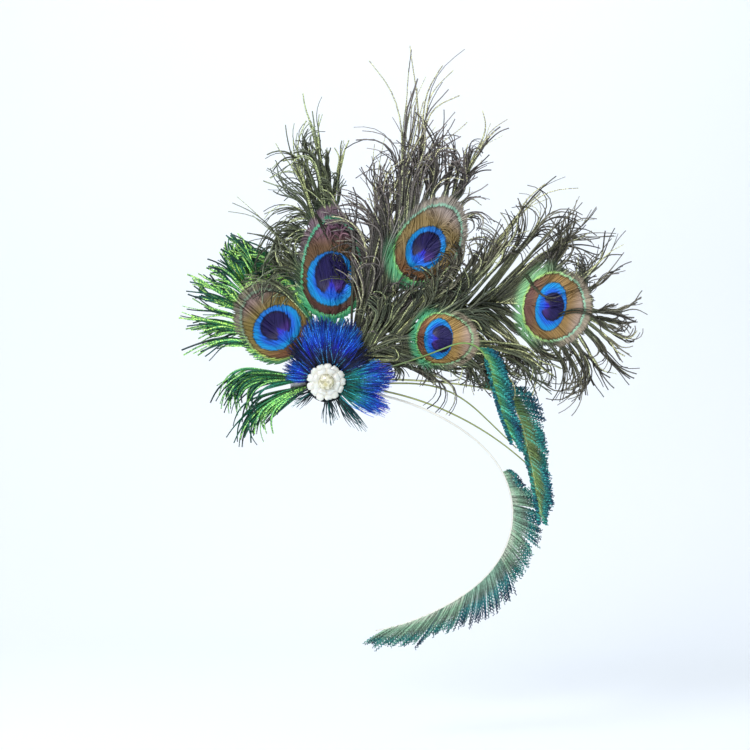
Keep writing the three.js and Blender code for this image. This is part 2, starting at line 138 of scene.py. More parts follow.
steel, tree, shader = finish("rolled_spring_steel", Metallic=1.0)
place = node(tree, "TexCoord").outputs["Object"]
lines = node(tree, "Mapping", {"Vector": place, "Scale": (60, 4000, 4000)}).outputs[0]
brushing = node(tree, "TexNoise", {"Vector": lines, "Scale": 1.0, "Detail": 3.0}).outputs[0]
stains = node(tree, "TexNoise", {"Vector": place, "Scale": 220.0, "Detail": 4.0}).outputs[0]
steel_colour = mixed(tree, ranged(tree, stains, 0.35, 0.7), tint("#c9ccd0"), tint("#9da0a4"))
feed(tree, shader.inputs["Base Color"], steel_colour)
feed(tree, shader.inputs["Roughness"], ranged(tree, brushing, 0.3, 0.7, 0.22, 0.42))
bumped(tree, shader, brushing, 0.02 * MM, 0.6)
clip.data.materials.append(steel)
hand_over(clip, "clip_metal", "spring_clip")

# Felt pad: a round of black wool felt, die cut, that every quill is glued to. Its rim is a little
# crushed, its faces are hairy, and the glue has flattened it in places.
PAD_RADIUS = 13 * MM
PAD_BACK = -4.3 * MM
PAD_THICK = 2 * MM
RIM_ROUND = 0.55 * MM
FACE_RINGS = 7
FACE_RING_PITCH = 1.6 * MM


def pick_faces(piece, chosen):
    """Selects the faces of a piece that pass a test and no others, ready for edit mode's operators"""
    bpy.ops.object.mode_set(mode="EDIT")
    bpy.ops.mesh.select_all(action="DESELECT")
    bpy.ops.object.mode_set(mode="OBJECT")
    for face in piece.data.polygons:
        face.select = chosen(face)
    bpy.ops.object.mode_set(mode="EDIT")
    bpy.ops.mesh.select_mode(type="FACE")


bpy.ops.mesh.primitive_cylinder_add(
    vertices=120,
    radius=PAD_RADIUS,
    depth=PAD_THICK,
    location=(0, PAD_BACK - PAD_THICK / 2, 0),
    rotation=(math.radians(90), 0, 0),
)
pad = bpy.context.object
pad.name = "felt_pad_round"
bpy.ops.object.transform_apply(location=True, rotation=True, scale=True)
pick_faces(pad, lambda face: len(face.vertices) > 4)
bpy.ops.mesh.bevel(offset=RIM_ROUND, segments=4, affect="EDGES")
pick_faces(pad, lambda face: len(face.vertices) > 4)
for ring in range(FACE_RINGS):
    bpy.ops.mesh.inset(thickness=FACE_RING_PITCH)
bpy.ops.mesh.select_all(action="SELECT")
bpy.ops.mesh.subdivide(number_cuts=1)
bpy.ops.object.mode_set(mode="OBJECT")
crushing = bpy.data.textures.new("felt_lumps", "CLOUDS")
crushing.noise_scale = 1.6 * MM
lumps = pad.modifiers.new("lumps", "DISPLACE")
lumps.texture = crushing
lumps.strength = 0.35 * MM
bpy.ops.object.modifier_apply(modifier=lumps.name)
bpy.ops.object.shade_smooth()

felt, tree, shader = finish("black_wool_felt", Roughness=0.95, Sheen_Weight=0.5, Sheen_Roughness=0.6)
place = node(tree, "TexCoord").outputs["Object"]
hair_grain = {"Vector": place, "Scale": 2600.0, "Detail": 5.0, "Distortion": 2.5}
hairs = node(tree, "TexNoise", hair_grain).outputs[0]
mottle = node(tree, "TexNoise", {"Vector": place, "Scale": 260.0, "Detail": 3.0}).outputs[0]
felt_colour = mixed(tree, ranged(tree, hairs, 0.35, 0.7), tint("#0e1012"), tint("#3a3d42"))
felt_colour = mixed(tree, ranged(tree, mottle, 0.4, 0.8, 0, 0.5), felt_colour, tint("#1b2a2c"))
feed(tree, shader.inputs["Base Color"], felt_colour)
bumped(tree, shader, hairs, 0.25 * MM, 0.8)
pad.data.materials.append(felt)
hand_over(pad, "felt", "felt_pad")

# Bare stems: two sword feather quills stripped of their barbs. A quill is a horn tube, round on its
# face and grooved behind; here it is swept as a round tube that tapers all its length. The roots are
# glued flat on the pad round a small hub, and the layers of the spray part beyond it.
PAD_FRONT = 6.3 * MM
CLEAR = 0.3 * MM
HUB_RADIUS = 6 * MM
QUILL = 1.35 * MM
QUILL_TIP = 0.8 * MM
SWORD_SHAFT = 280 * MM
LAYER_PITCH = 1.65 * MM
FAN_OPENING = 0.02
FIRST_LIFT = 10 * MM
FULL_LIFT = 24 * MM
TOP_BOW = 16 * MM
TOP_REACH = 205 * MM
FOOT_BOW = 24 * MM
FOOT_REACH = 165 * MM


def smoothed(value, low, high):
    share = np.clip((value - low) / (high - low), 0, 1)
    return share * share * (3 - 2 * share)


def depth_at(layer, x, z):
    """How far in front of the clip's back a layer of the spray lies. The whole spray bows forwards
    at its top and backwards at its foot"""
    r = np.hypot(x, z)
    pitch = LAYER_PITCH + FAN_OPENING * r
    top = TOP_BOW * (np.maximum(0, z) / TOP_REACH) ** 2
    foot = FOOT_BOW * (np.maximum(0, -z) / FOOT_REACH) ** 2
    return PAD_FRONT + CLEAR + smoothed(r, FIRST_LIFT, FULL_LIFT) * layer * pitch + top - foot


def trace(x, z, heading, length, bend=0.0, curl=0.0, late=0.45, full=1.0, hook=0.0, steps=48):
    """Flat lines that leave points at a heading and turn by bend evenly, by curl between the
    shares late and full, and by hook near the tip. Gives x, z and heading, (lines, steps + 1)"""
    parts = np.atleast_1d(x, z, heading, length, bend, curl, hook)
    x, z, heading, length, bend, curl, hook = np.broadcast_arrays(*parts)

    def turned(t):
        turn = bend[:, None] * t + curl[:, None] * smoothed(t, late, full)
        return heading[:, None] + turn + hook[:, None] * smoothed(t, 0.7, 1)

    t = np.linspace(0, 1, steps + 1)
    way = np.radians(turned((t[1:] + t[:-1]) / 2))
    step = length[:, None] / steps
    start = np.zeros((len(x), 1))
    run = np.hstack([start, np.cumsum(np.cos(way) * step, axis=1)])
    rise = np.hstack([start, np.cumsum(np.sin(way) * step, axis=1)])
    return x[:, None] + run, z[:, None] + rise, turned(t)


def shaft_line(feather, longest):
    """The middle line of a feather's shaft, from its place on the hub"""
    clock = math.radians(feather["clock"])
    turns = {key: feather[key] for key in ("bend", "curl", "late", "full") if key in feather}
    start = (HUB_RADIUS * math.cos(clock), HUB_RADIUS * math.sin(clock), feather["heading"])
    return trace(*start, feather["stem"] * longest, **turns)


def laid(layer, x, z, lift):
    """Flat lines set at a lift in front of their layer, as points (lines, rings, xyz)"""
    return np.stack([x, -depth_at(layer, x, z) - lift, z], axis=-1)


ROUND = [(0.5 * math.cos(math.tau * i / 10), 0.5 * math.sin(math.tau * i / 10)) for i in range(10)]


def sweep(name, lines, section, widths, thicks, twist=0.0, marks=None):
    """One closed blade for each line. section gives its corners, anticlockwise, as shares of its
    width and of its thickness, which points forwards. marks are values kept on the points"""
    count, rings = lines.shape[:2]
    corners = len(section)
    along = np.gradient(lines, axis=1)
    along /= np.linalg.norm(along, axis=2, keepdims=True) + 1e-12
    side = np.cross(along, (0, -1, 0))
    side /= np.linalg.norm(side, axis=2, keepdims=True) + 1e-12
    front = np.cross(side, along)
    turn = np.broadcast_to(twist, (count, rings))[..., None]
    across = side * np.cos(turn) + front * np.sin(turn)
    up = front * np.cos(turn) - side * np.sin(turn)
    widths = np.broadcast_to(widths, (count, rings))[..., None]
    thicks = np.broadcast_to(thicks, (count, rings))[..., None]
    points = np.stack([lines + across * widths * a + up * thicks * b for a, b in section], axis=2)

    first = (np.arange(count)[:, None, None] * rings + np.arange(rings - 1)[None, :, None]) * corners
    near = np.arange(corners)
    far = (near + 1) % corners
    quads = np.stack([first + near, first + corners + near, first + corners + far, first + far], axis=-1)
    roots = np.arange(count)[:, None] * rings * corners + near
    tips = np.arange(count)[:, None] * rings * corners + (rings - 1) * corners + near[::-1]
    faces = quads.reshape(-1, 4).tolist() + roots.tolist() + tips.tolist()
    mesh = bpy.data.meshes.new(name)
    mesh.from_pydata(points.reshape(-1, 3), [], faces)
    mesh.shade_smooth()
    for key, values in (marks or {}).items():
        kept = mesh.attributes.new(key, "FLOAT_VECTOR", "POINT")
        spread = np.repeat(values[:, :, None, :], corners, axis=2)
        kept.data.foreach_set("vector", spread.astype(np.float32).ravel())

    rows = max(1, round(math.sqrt(count / 6)))
    columns = math.ceil(count / rows)
    home = np.stack([np.arange(count) % columns / columns, np.arange(count) // columns / rows], axis=-1)
    low, high = 0.06, 0.94
    u = (near[:, None] + np.array((low, low, high, high))) / corners / columns
    v = (np.arange(rings - 1)[:, None] + np.array((0, 1, 1, 0))) / (rings - 1) / rows * high
    spots = np.zeros((count, rings - 1, corners, 4, 2))
    spots[..., 0] = home[:, None, None, None, 0] + u[None, None]
    spots[..., 1] = home[:, None, None, None, 1] + v[None, :, None]
    angle = math.tau * near / corners
    cap = np.stack([1 + np.cos(angle), 1 + np.sin(angle)], axis=-1) * 0.01 / (columns + rows)
    cap_root = home[:, None] + cap
    cap_tip = cap_root + (0, high / rows)
    bake_map = mesh.uv_layers.new(name="OFBake")
    flat = np.concatenate([spots.ravel(), cap_root.ravel(), cap_tip.ravel()])
    bake_map.data.foreach_set("uv", flat.astype(np.float32))

    piece = bpy.data.objects.new(name, mesh)
    bpy.context.scene.collection.objects.link(piece)
    return piece


def quill_rod(name, feather, longest, root):
    """A feather's bare shaft, from the hub to its tip"""
    x, z, heading = shaft_line(feather, longest)
    t = np.linspace(0, 1, x.shape[1])
    wide = root + (QUILL_TIP - root) * t
    marks = {"strand": np.stack([t, np.zeros_like(t), np.zeros_like(t)], axis=-1)[None]}
    return sweep(name, laid(feather["layer"], x, z, wide / 2), ROUND, wide, wide, marks=marks)


def strand_values(tree):
    """What the points of a strand carry: X is their share along it, Y and Z are its two chances"""
    kept = node(tree, "Attribute", attribute_name="strand").outputs["Vector"]
    return node(tree, "SeparateXYZ", {0: kept}).outputs


def horn(name, root_colour, face_colour, shade_and_wear_colour):
    """Quill horn: a satin face that changes colour towards the tip, and sides and back painted darker as
    painted shade
    """
    material, tree, shader = finish(name, Roughness=0.38, Coat_Weight=0.25, Coat_Roughness=0.3)
    coordinates = node(tree, "TexCoord")
    share = strand_values(tree)["X"]
    facing = node(tree, "SeparateXYZ", {0: coordinates.outputs["Normal"]}).outputs["Y"]
    face = mixed(tree, ranged(tree, share, 0.05, 0.6), root_colour, face_colour)
    worn = node(tree, "TexNoise", {"Vector": coordinates.outputs["Object"], "Scale": 380.0, "Detail": 4.0})
    face = mixed(tree, ranged(tree, worn.outputs[0], 0.5, 0.75, 0, 0.35), face, shade_and_wear_colour)
    # Painted shade: where the normal turns from the front, the sides and back take the dark shade colour
    colour = mixed(tree, ranged(tree, facing, -0.85, -0.35), face, shade_and_wear_colour)
    feed(tree, shader.inputs["Base Color"], colour)
    bumped(tree, shader, worn.outputs[0], 0.06 * MM, 0.5)
    return material


BARE_STEMS = [
    {"name": "bare_stem_upper", "layer": 1, "clock": -8, "heading": 0, "curl": -44, "late": 0.3, "full": 0.8,
     "stem": 0.46},
    {"name": "bare_stem_lower", "layer": 1, "clock": -21, "heading": -2, "bend": -44, "stem": 0.52},
]
# A horn's third colour is the painted shade of the quill's sides and back, also used for its worn patches
olive_horn = horn("olive_quill_horn", tint("#a3a868"), tint("#9aa452"), tint("#23240f"))
for stem in BARE_STEMS:
    rod = quill_rod(stem["name"] + "_quill", stem, SWORD_SHAFT, QUILL)
    rod.data.materials.append(olive_horn)
    hand_over(rod, "quill", stem["name"])

# Sword feathers: three long feathers whose barbs grow on the outside of the curve, and on two of
# them sparsely on the inside. The barbs cling in a vane near the shaft, part into locks, and are
# crimped at their ends, where they turn from olive to teal.
LONG_QUILL = 1.6 * MM
SWORD_BARB = 78 * MM
BARB_PITCH = 0.52 * MM
BARB_LAP = 1.8
BARB_RINGS = 28
BARBS_IN_LOCK = 14
CRIMP_LENGTH = 2.3 * MM
BLADE = [(-0.5, 0), (0.5, 0), (0, 1)]
BARB_COLUMNS = ("start", "leave", "reach", "bend")
# Each horn gives the root, face and painted shade colours of the quill
SWORD_FEATHERS = [
    {
        "name": "sword_feather_long", "layer": 0, "clock": -58,
        "heading": 0, "bend": -108, "curl": -61, "late": 0.3, "full": 0.8,
        "stem": 1, "quill": LONG_QUILL, "barb": 1, "crimp": 0.6, "clinging": 0.1,
        "outer": [
            (0.45, 84, 0.08, -6), (0.51, 78, 0.24, -10), (0.58, 68, 0.3, -12), (0.67, 60, 0.32, -10),
            (0.76, 42, 0.36, -10), (0.86, 29, 0.42, -8), (0.97, 18, 0.3, 0),
        ],
        "inner": [],
        "hues": ("#b9c9b4", "#86ab92", "#6f8578", "#2a8a8a", "#123e5a"), "painted_glint": "#8fb49a",
        "horn": ("#f4f2e8", "#f7f5ec", "#cfc8b0"),
    },
    {
        "name": "sword_feather_middle", "layer": 2, "clock": 6,
        "heading": 4, "bend": -27, "curl": -60, "late": 0.46, "full": 0.7,
        "stem": 0.68, "quill": QUILL, "barb": 0.5, "crimp": 1.0, "clinging": 0.2,
        "outer": [
            (0.48, 62, 0.4, -20), (0.6, 56, 0.52, -26), (0.72, 50, 0.54, -30), (0.86, 44, 0.5, -26),
            (0.97, 20, 0.3, -10),
        ],
        "inner": [(0.66, -30, 0.14, 10), (0.76, -28, 0.2, 12), (0.88, -22, 0.24, 12), (0.97, -10, 0.28, 6)],
        "hues": ("#8fa868", "#7d9a5a", "#63805a", "#2a8a86", "#17566e"), "painted_glint": "#4fb8a8",
        "horn": ("#c3c884", "#c6cc80", "#34351c"),
    },
    {
        "name": "sword_feather_short", "layer": 6, "clock": 19,
        "heading": 9, "bend": 29, "curl": -106, "late": 0.46, "full": 0.7,
        "stem": 0.56, "quill": QUILL, "barb": 0.25, "crimp": 1.1, "clinging": 0.1,
        "outer": [(0.6, 50, 0.6, -40), (0.7, 60, 0.9, -40), (0.86, 50, 1, -40), (0.97, 24, 0.8, -20)],
        "inner": [(0.64, -30, 0.16, 20), (0.8, -28, 0.2, 20), (0.97, -14, 0.36, 10)],
        "hues": ("#6fa860", "#3f9070", "#237f7a", "#1c7486", "#174c6c"), "painted_glint": "#4fb8b0",
        # The dark first colour paints shadow on this quill's root
        "horn": ("#34381f", "#86b05a", "#23280f"),
    },
]


def columns_at(names, rows, share):
    """The columns of a table at shares of the way down it, each mixed from the rows it lies between"""
    place = np.clip(share, 0, 1) * (len(rows) - 1)
    return {name: np.interp(place, range(len(rows)), column) for name, column in zip(names, zip(*rows))}


def on_line(line, share):
    """x, z and heading at shares along a shaft's line"""
    place = np.asarray(share) * (line[0].shape[1] - 1)
    return [np.interp(place, range(line[0].shape[1]), part[0]) for part in line]


def gathered(own, home, amount):
    """Lines drawn towards the middle line of their lock by an amount along their length"""
    return [mine * (1 - amount) + its * amount for mine, its in zip(own, home)]


def each(values, lines):
    """Values filled out to one for every point of the lines"""
    return np.broadcast_to(values, lines.shape)


def vane(feather, rows, line, chance):
    """The barbs of one side of a sword feather: points, widths and marks"""
    first, last = rows[0][0], rows[-1][0]
    count = round((last - first) * feather["stem"] * SWORD_SHAFT / BARB_PITCH)
    share = np.linspace(0, 1, count)
    locks = max(3, count // BARBS_IN_LOCK)
    edges = np.sort(chance.uniform(0, 1, locks))
    lock = np.searchsorted(edges, share)
    middle = np.zeros(locks + 1)
    for which in np.unique(lock):
        middle[which] = share[lock == which].mean()
    ragged = chance.uniform(0.82, 1.06, count) * chance.uniform(0.84, 1.06, locks + 1)[lock]

    def barbs(at, swerve):
        row = columns_at(BARB_COLUMNS, rows, at)
        x, z, heading = on_line(line, row["start"])
        length = row["reach"] * feather["barb"] * SWORD_BARB * ragged
        steps = BARB_RINGS - 1
        return trace(x, z, heading + row["leave"] + swerve, length, row["bend"], steps=steps), length

    own, length = barbs(share, chance.normal(0, 1.5, count))
    home, _ = barbs(middle[lock], 0)
    t = np.linspace(0, 1, BARB_RINGS)
    x, z, heading = gathered(own, home, feather["clinging"] * smoothed(t, 0.3, 1.0))
    crimped = smoothed(t, 0.35, 0.7)
    crimp = feather["crimp"] * MM * crimped
    phase = chance.uniform(0, math.tau, count)[:, None] + length[:, None] * t / CRIMP_LENGTH * math.tau
    way = np.radians(heading + 90)
    x = x + crimp * np.sin(phase) * np.cos(way)
    z = z + crimp * np.sin(phase) * np.sin(way)
    lift = 0.5 * MM + chance.uniform(-0.25, 0.25, count)[:, None] * MM + crimp * np.cos(phase)
    widths = each(BARB_PITCH * (BARB_LAP - 0.7 * smoothed(t, 0.85, 1.0)), phase)
    single, shared = chance.random(count)[:, None], chance.random(locks + 1)[lock][:, None]
    marks = np.stack([each(values, phase) for values in (t, single, shared)], axis=-1)
    twist = chance.normal(0, 0.35, count)[:, None] + 0.5 * np.sin(phase) * crimped
    return laid(feather["layer"], x, z, lift), widths, marks, twist


def tone_group():
    """Colour along a barb. Each barb is lighter or darker than the next, some carry a painted highlight,
    the painted glint colour, and the fine hairs on them break all colours into flecks"""
    group = bpy.data.node_groups.new("barb_tone", "ShaderNodeTree")
    sockets = group.interface
    for label in ("Root", "Low", "Middle", "High", "Tip", "Painted Glint"):
        sockets.new_socket(label, in_out="INPUT", socket_type="NodeSocketColor")
    for label in ("Spread", "Flecks", "Rarity"):
        sockets.new_socket(label, in_out="INPUT", socket_type="NodeSocketFloat")
    sockets.new_socket("Color", in_out="OUTPUT", socket_type="NodeSocketColor")
    sockets.new_socket("Fleck", in_out="OUTPUT", socket_type="NodeSocketFloat")
    given = group.nodes.new("NodeGroupInput").outputs
    out = group.nodes.new("NodeGroupOutput").inputs
    strand = strand_values(group)
    share = maths(group, "ADD", strand["X"], ranged(group, strand["Z"], 0, 1, -0.12, 0.12))
    place = node(group, "TexCoord").outputs["Object"]
    fleck = node(group, "TexNoise", {"Vector": place, "Scale": 1500.0, "Detail": 2.0}).outputs[0]
    colour = given["Root"]
    for label, low, high in (("Low", 0, 0.2), ("Middle", 0.2, 0.5), ("High", 0.45, 0.7), ("Tip", 0.7, 1)):
        colour = mixed(group, ranged(group, share, low, high), colour, given[label])
    flecked = ranged(group, fleck, 0.38, 0.62)
    # Painted highlight: barbs whose chance Y passes the rarity take the painted glint colour, broken up by
    # the flecks
    over = maths(group, "SUBTRACT", strand["Y"], given["Rarity"])
    painted_glint_share = maths(group, "MULTIPLY", ranged(group, over, 0, 0.1), flecked)
    colour = mixed(group, maths(group, "MULTIPLY", painted_glint_share, 0.75), colour, given["Painted Glint"])
    away = maths(group, "MULTIPLY", maths(group, "SUBTRACT", strand["Y"], 0.5), given["Spread"])
    breaks = maths(group, "MULTIPLY", ranged(group, fleck, 0.35, 0.65, -1, 1), given["Flecks"])
    away = maths(group, "ADD", away, breaks)
    value = maths(group, "MAXIMUM", maths(group, "ADD", away, 1.0), 0.12)
    hue = ranged(group, strand["Z"], 0, 1, 0.485, 0.515)
    toned = node(group, "HueSaturation", {"Hue": hue, "Value": value, "Color": colour}).outputs[0]
    feed(group, out["Color"], toned)
    feed(group, out["Fleck"], fleck)
    return group


barb_tone = tone_group()


def toned(tree, hues, painted_glint, spread, flecks, rarity):
    """The tone of barbs, from the five hues along them and the painted glint, a highlight colour painted on
    some of them
    """
    tone = node(tree, "Group", node_tree=barb_tone)
    for label, hue in zip(("Root", "Low", "Middle", "High", "Tip", "Painted Glint"), (*hues, painted_glint)):
        tone.inputs[label].default_value = tint(hue)
    for label, amount in (("Spread", spread), ("Flecks", flecks), ("Rarity", rarity)):
        tone.inputs[label].default_value = amount
    return tone


def barb_finish(name, hues, painted_glint, spread=1.0, flecks=0.35, rarity=0.7):
    """The look of one feather's barbs"""
    material, tree, shader = finish(name, Metallic=0.25, Roughness=0.42)
    tone = toned(tree, hues, painted_glint, spread, flecks, rarity)
    feed(tree, shader.inputs["Base Color"], tone.outputs["Color"])
    bumped(tree, shader, tone.outputs["Fleck"], 0.08 * MM, 0.5)
    return material


def joined(parts):
    """Points, widths, marks and twists of several sets of blades, put together"""
    return [np.concatenate(columns) for columns in zip(*parts)]


for number, feather in enumerate(SWORD_FEATHERS):
    chance = np.random.default_rng(40 + number)
    name = feather["name"]
    line = shaft_line(feather, SWORD_SHAFT)
    sides = [vane(feather, rows, line, chance) for rows in (feather["outer"], feather["inner"]) if rows]
    points, widths, marks, twist = joined(sides)
    barbs = sweep(name + "_barbs", points, BLADE, widths, 0.35 * widths, twist, {"strand": marks})
    barbs.data.materials.append(barb_finish(name + "_barb", feather["hues"], feather["painted_glint"]))
    hand_over(barbs, "sword_feather", name)
    rod = quill_rod(name + "_quill", feather, SWORD_SHAFT, feather["quill"])
    rod.data.materials.append(horn(name + "_horn", *map(tint, feather["horn"])))
    hand_over(rod, "quill", name)

# Eye feathers: five tail feathers. The barbs round the end of the shaft lie side by side in a flat
# egg and carry the eye in rings of colour. All the others are loose herl: soft strands that cling
# in locks, part again and curl at their tips.
EYE_SHAFT = 172 * MM
EYE_HERL = 168 * MM
EYE_HALF = 20.8 * MM
RIB_PITCH = 0.4 * MM
RIB_RINGS = 12
HERL_RINGS = 20
HERL_WIDTH = 1.2 * MM
HERL_WAVE = 0.7 * MM
HERL_COLUMNS = ("start", "leave", "reach", "bend", "curl")
STRAY_COLUMNS = ("across", "along", "turn", "length", "bend", "curl")

# egg, oval and heart are the sizes of the eye's rings in its half widths. The strands of the herl
# leave earlier than barbs says by the shares early, on the left and on the right. Most reach the
# shares mass of their row's reach, and the share spikes of the locks stand up straight above them.
EYE_FEATHERS = [
    {
        "name": "eye_feather_front", "layer": 1, "clock": 135, "heading": 134, "bend": -8,
        "stem": 0.42, "eye": 0.94, "notch": 0.56, "herl": 0.5, "strands": 460,
        "early": (0.6, 0.9), "loose": 0.35, "rarity": 0.5, "mass": (0.82, 1.05), "spikes": 0, "fat": 1.4,
        "egg": (1.0, 1.33), "oval": (0.82, 0.68), "heart": (0.08, 0.52, 0.47),
        "barbs": [
            (0.26, 30, 0.9, 14, 20), (0.36, 22, 0.9, 10, 20), (0.48, 12, 0.8, 6, 6), (0.68, 6, 0.68, 4, 4),
            (1, -4, 0.4, -4, 0), (0.85, -20, 0.52, 0, 10), (0.65, -30, 0.8, 10, 50), (0.5, -34, 1, 20, 80),
            (0.38, -38, 1.1, 18, 96), (0.28, -40, 1.04, 14, 96),
        ],
        "strays": [(-0.9, -0.7, 150, 30, -40, -20)],
        "hues": ("#26331c", "#3a5a28", "#3f8a48", "#2f8a60", "#1f5a50"), "painted_glint": "#b4e068",
        "bronze": ("#7a4f30", "#8f7d44", "#9c8480"), "fringe": "#4f8a5a", "line": ("#a3bd5c", "#8ea38c"),
    },
    {
        "name": "eye_feather_top", "layer": 2, "clock": 96, "heading": 84, "bend": 8,
        "stem": 0.64, "eye": 0.88, "notch": 0.54, "herl": 0.74, "strands": 560,
        "early": (0.4, 0.9), "loose": 1, "rarity": 0.85, "mass": (0.5, 0.76), "spikes": 0.09, "fat": 1,
        "egg": (1.25, 2.03), "oval": (0.84, 0.93), "heart": (0.15, 0.58, 0.74),
        "barbs": [
            (0.2, 28, 0.88, 20, 90), (0.32, 24, 0.92, 16, 80), (0.45, 20, 1, 6, 110),
            (0.58, 16, 0.92, -4, 110), (0.7, 18, 0.88, -4, 12), (0.85, 12, 0.8, -4, 8), (1, 2, 0.3, 4, 20),
            (0.85, -10, 0.4, 4, 70), (0.65, -18, 0.46, 8, 60), (0.45, -24, 0.48, 14, 40),
            (0.28, -24, 0.42, 10, 10),
        ],
        "strays": [
            (-1.9, -0.2, 78, 44, 40, -150), (-1.8, 0.6, 40, 50, 30, 60), (-1.5, -0.5, 60, 34, 20, 30),
            (0.6, 2.2, -150, 46, 30, 20), (-1.3, 1.4, 100, 40, 60, 80),
        ],
        "hues": ("#262d1c", "#323c26", "#3f4832", "#545a44", "#6f7660"), "painted_glint": "#a9b07b",
        "bronze": ("#5a3830", "#74583e", "#966f88"), "fringe": "#3fae74", "line": ("#6fc88a", "#6fc8a0"),
    },
    {
        "name": "eye_feather_crown", "layer": 3, "clock": 68, "heading": 47, "bend": 15,
        "stem": 0.81, "eye": 0.88, "notch": 0.71, "herl": 1, "strands": 740,
        "early": (0.6, 0.9), "loose": 1, "rarity": 0.85, "mass": (0.46, 0.76), "spikes": 0.09, "fat": 1,
        "egg": (1.17, 1.6), "oval": (0.64, 0.8), "heart": (0.06, 0.48, 0.56),
        "barbs": [
            (0.16, 34, 0.74, -6, 70), (0.24, 30, 0.82, -6, 50), (0.34, 32, 1, 0, 4), (0.44, 30, 0.98, 0, 0),
            (0.56, 25, 0.9, 0, 0), (0.7, 25, 0.66, 2, 0), (0.85, 20, 0.46, 0, 10), (1, 10, 0.3, 0, 10),
            (0.88, -2, 0.44, 4, 0), (0.75, -18, 0.44, 0, 20), (0.6, -26, 0.4, 4, 20),
            (0.42, -30, 0.36, 8, 20), (0.26, -34, 0.32, 10, 10),
        ],
        "strays": [
            (-1.1, -1.1, 70, 34, 60, 80), (-1.2, -0.9, 55, 28, 50, 60), (-1.0, -1.4, 80, 30, 70, 90),
            (-1.6, -0.2, 110, 30, -40, -60), (-0.6, -1.6, 60, 26, 80, 60),
        ],
        "hues": ("#282c1e", "#3a3e2e", "#4e4e44", "#625c58", "#7a7270"), "painted_glint": "#b5b888",
        "bronze": ("#7c5636", "#a18a5a", "#b0a099"), "fringe": "#5fb07c", "line": ("#86cc7c", "#9fcdb4"),
    },
    {
        "name": "eye_feather_back", "layer": 4, "clock": 50, "heading": 46, "bend": -66,
        "stem": 1, "eye": 1, "notch": 0.87, "herl": 0.62, "strands": 760,
        "early": (0.2, 0.9), "loose": 1, "rarity": 0.85, "mass": (0.6, 0.92), "spikes": 0.08, "fat": 1,
        "egg": (0.81, 0.98), "oval": (0.73, 0.45), "heart": (0.06, 0.43, 0.34),
        "barbs": [
            (0.25, 22, 0.5, -10, -20), (0.38, 28, 0.7, -6, 0), (0.5, 36, 0.9, 0, 50), (0.62, 40, 1.08, 0, 10),
            (0.74, 40, 0.9, 8, 20), (0.87, 10, 0.84, 10, 120), (1, 15, 0.36, 0, 0),
            (0.95, -18, 0.66, -20, -30), (0.86, -38, 0.84, -20, -20), (0.74, -42, 1, -20, -20),
            (0.6, -44, 0.92, -20, -20), (0.46, -44, 0.8, -16, -20), (0.32, -36, 0.5, -10, -10),
        ],
        "strays": [(-0.2, 0.3, 40, 34, -80, -30), (0.8, -0.9, -50, 30, 30, 40)],
        "hues": ("#2f3320", "#454a32", "#5a5e48", "#626050", "#5a5650"), "painted_glint": "#b9bc8c",
        "bronze": ("#765148", "#a0804e", "#b8a192"), "fringe": "#93cf94", "line": ("#b4da80", "#a6d4b6"),
    },
    {
        "name": "eye_feather_low", "layer": 5, "clock": 32, "heading": 44, "bend": -63,
        "stem": 0.55, "eye": 0.75, "notch": 0.76, "herl": 0.42, "strands": 480,
        "early": (0.6, 0.9), "loose": 0.8, "rarity": 0.85, "mass": (0.7, 1.05), "spikes": 0, "fat": 1,
        "egg": (0.86, 1.34), "oval": (0.81, 0.57), "heart": (0.13, 0.55, 0.44),
        "barbs": [
            (0.26, 26, 0.6, 0, 0), (0.45, 34, 0.8, -6, 30), (0.65, 38, 0.85, 0, 30),
            (0.82, 34, 0.8, -20, -30), (1, 10, 0.9, -30, -50), (0.85, -16, 0.9, -20, -20),
            (0.68, -30, 0.8, -10, 0), (0.5, -36, 0.7, 0, 0), (0.32, -40, 0.5, 0, 0),
        ],
        "strays": [(-0.7, 0.9, -10, 22, -100, 20)],
        "hues": ("#343a26", "#454a34", "#565c44", "#5a5f4c", "#4c5444"), "painted_glint": "#a9b07b",
        "bronze": ("#80523a", "#ac8c52", "#b39a8a"), "fringe": "#54b884", "line": ("#8fca78", "#a0c698"),
    },
]


def eye_place(feather, line, x, z):
    """Where points lie in a feather's eye: across its axis and along it from the notch, in half
    widths of the egg"""
    notch_x, notch_z, heading = on_line(line, feather["notch"])
    way = math.radians(float(heading))
    half = feather["eye"] * EYE_HALF
    along = ((x - notch_x) * math.cos(way) + (z - notch_z) * math.sin(way)) / half
    across = ((z - notch_z) * math.cos(way) - (x - notch_x) * math.sin(way)) / half
    return across, along


def strand_marks(feather, line, x, z, t, single, lock):
    """What the finish of a strand needs: its share, two chances, and its place in the eye"""
    across, along = eye_place(feather, line, x, z)
    strand = np.stack([each(values, x) for values in (t, single[:, None], lock[:, None])], axis=-1)
    return strand, np.stack([across, along, np.zeros_like(x)], axis=-1)


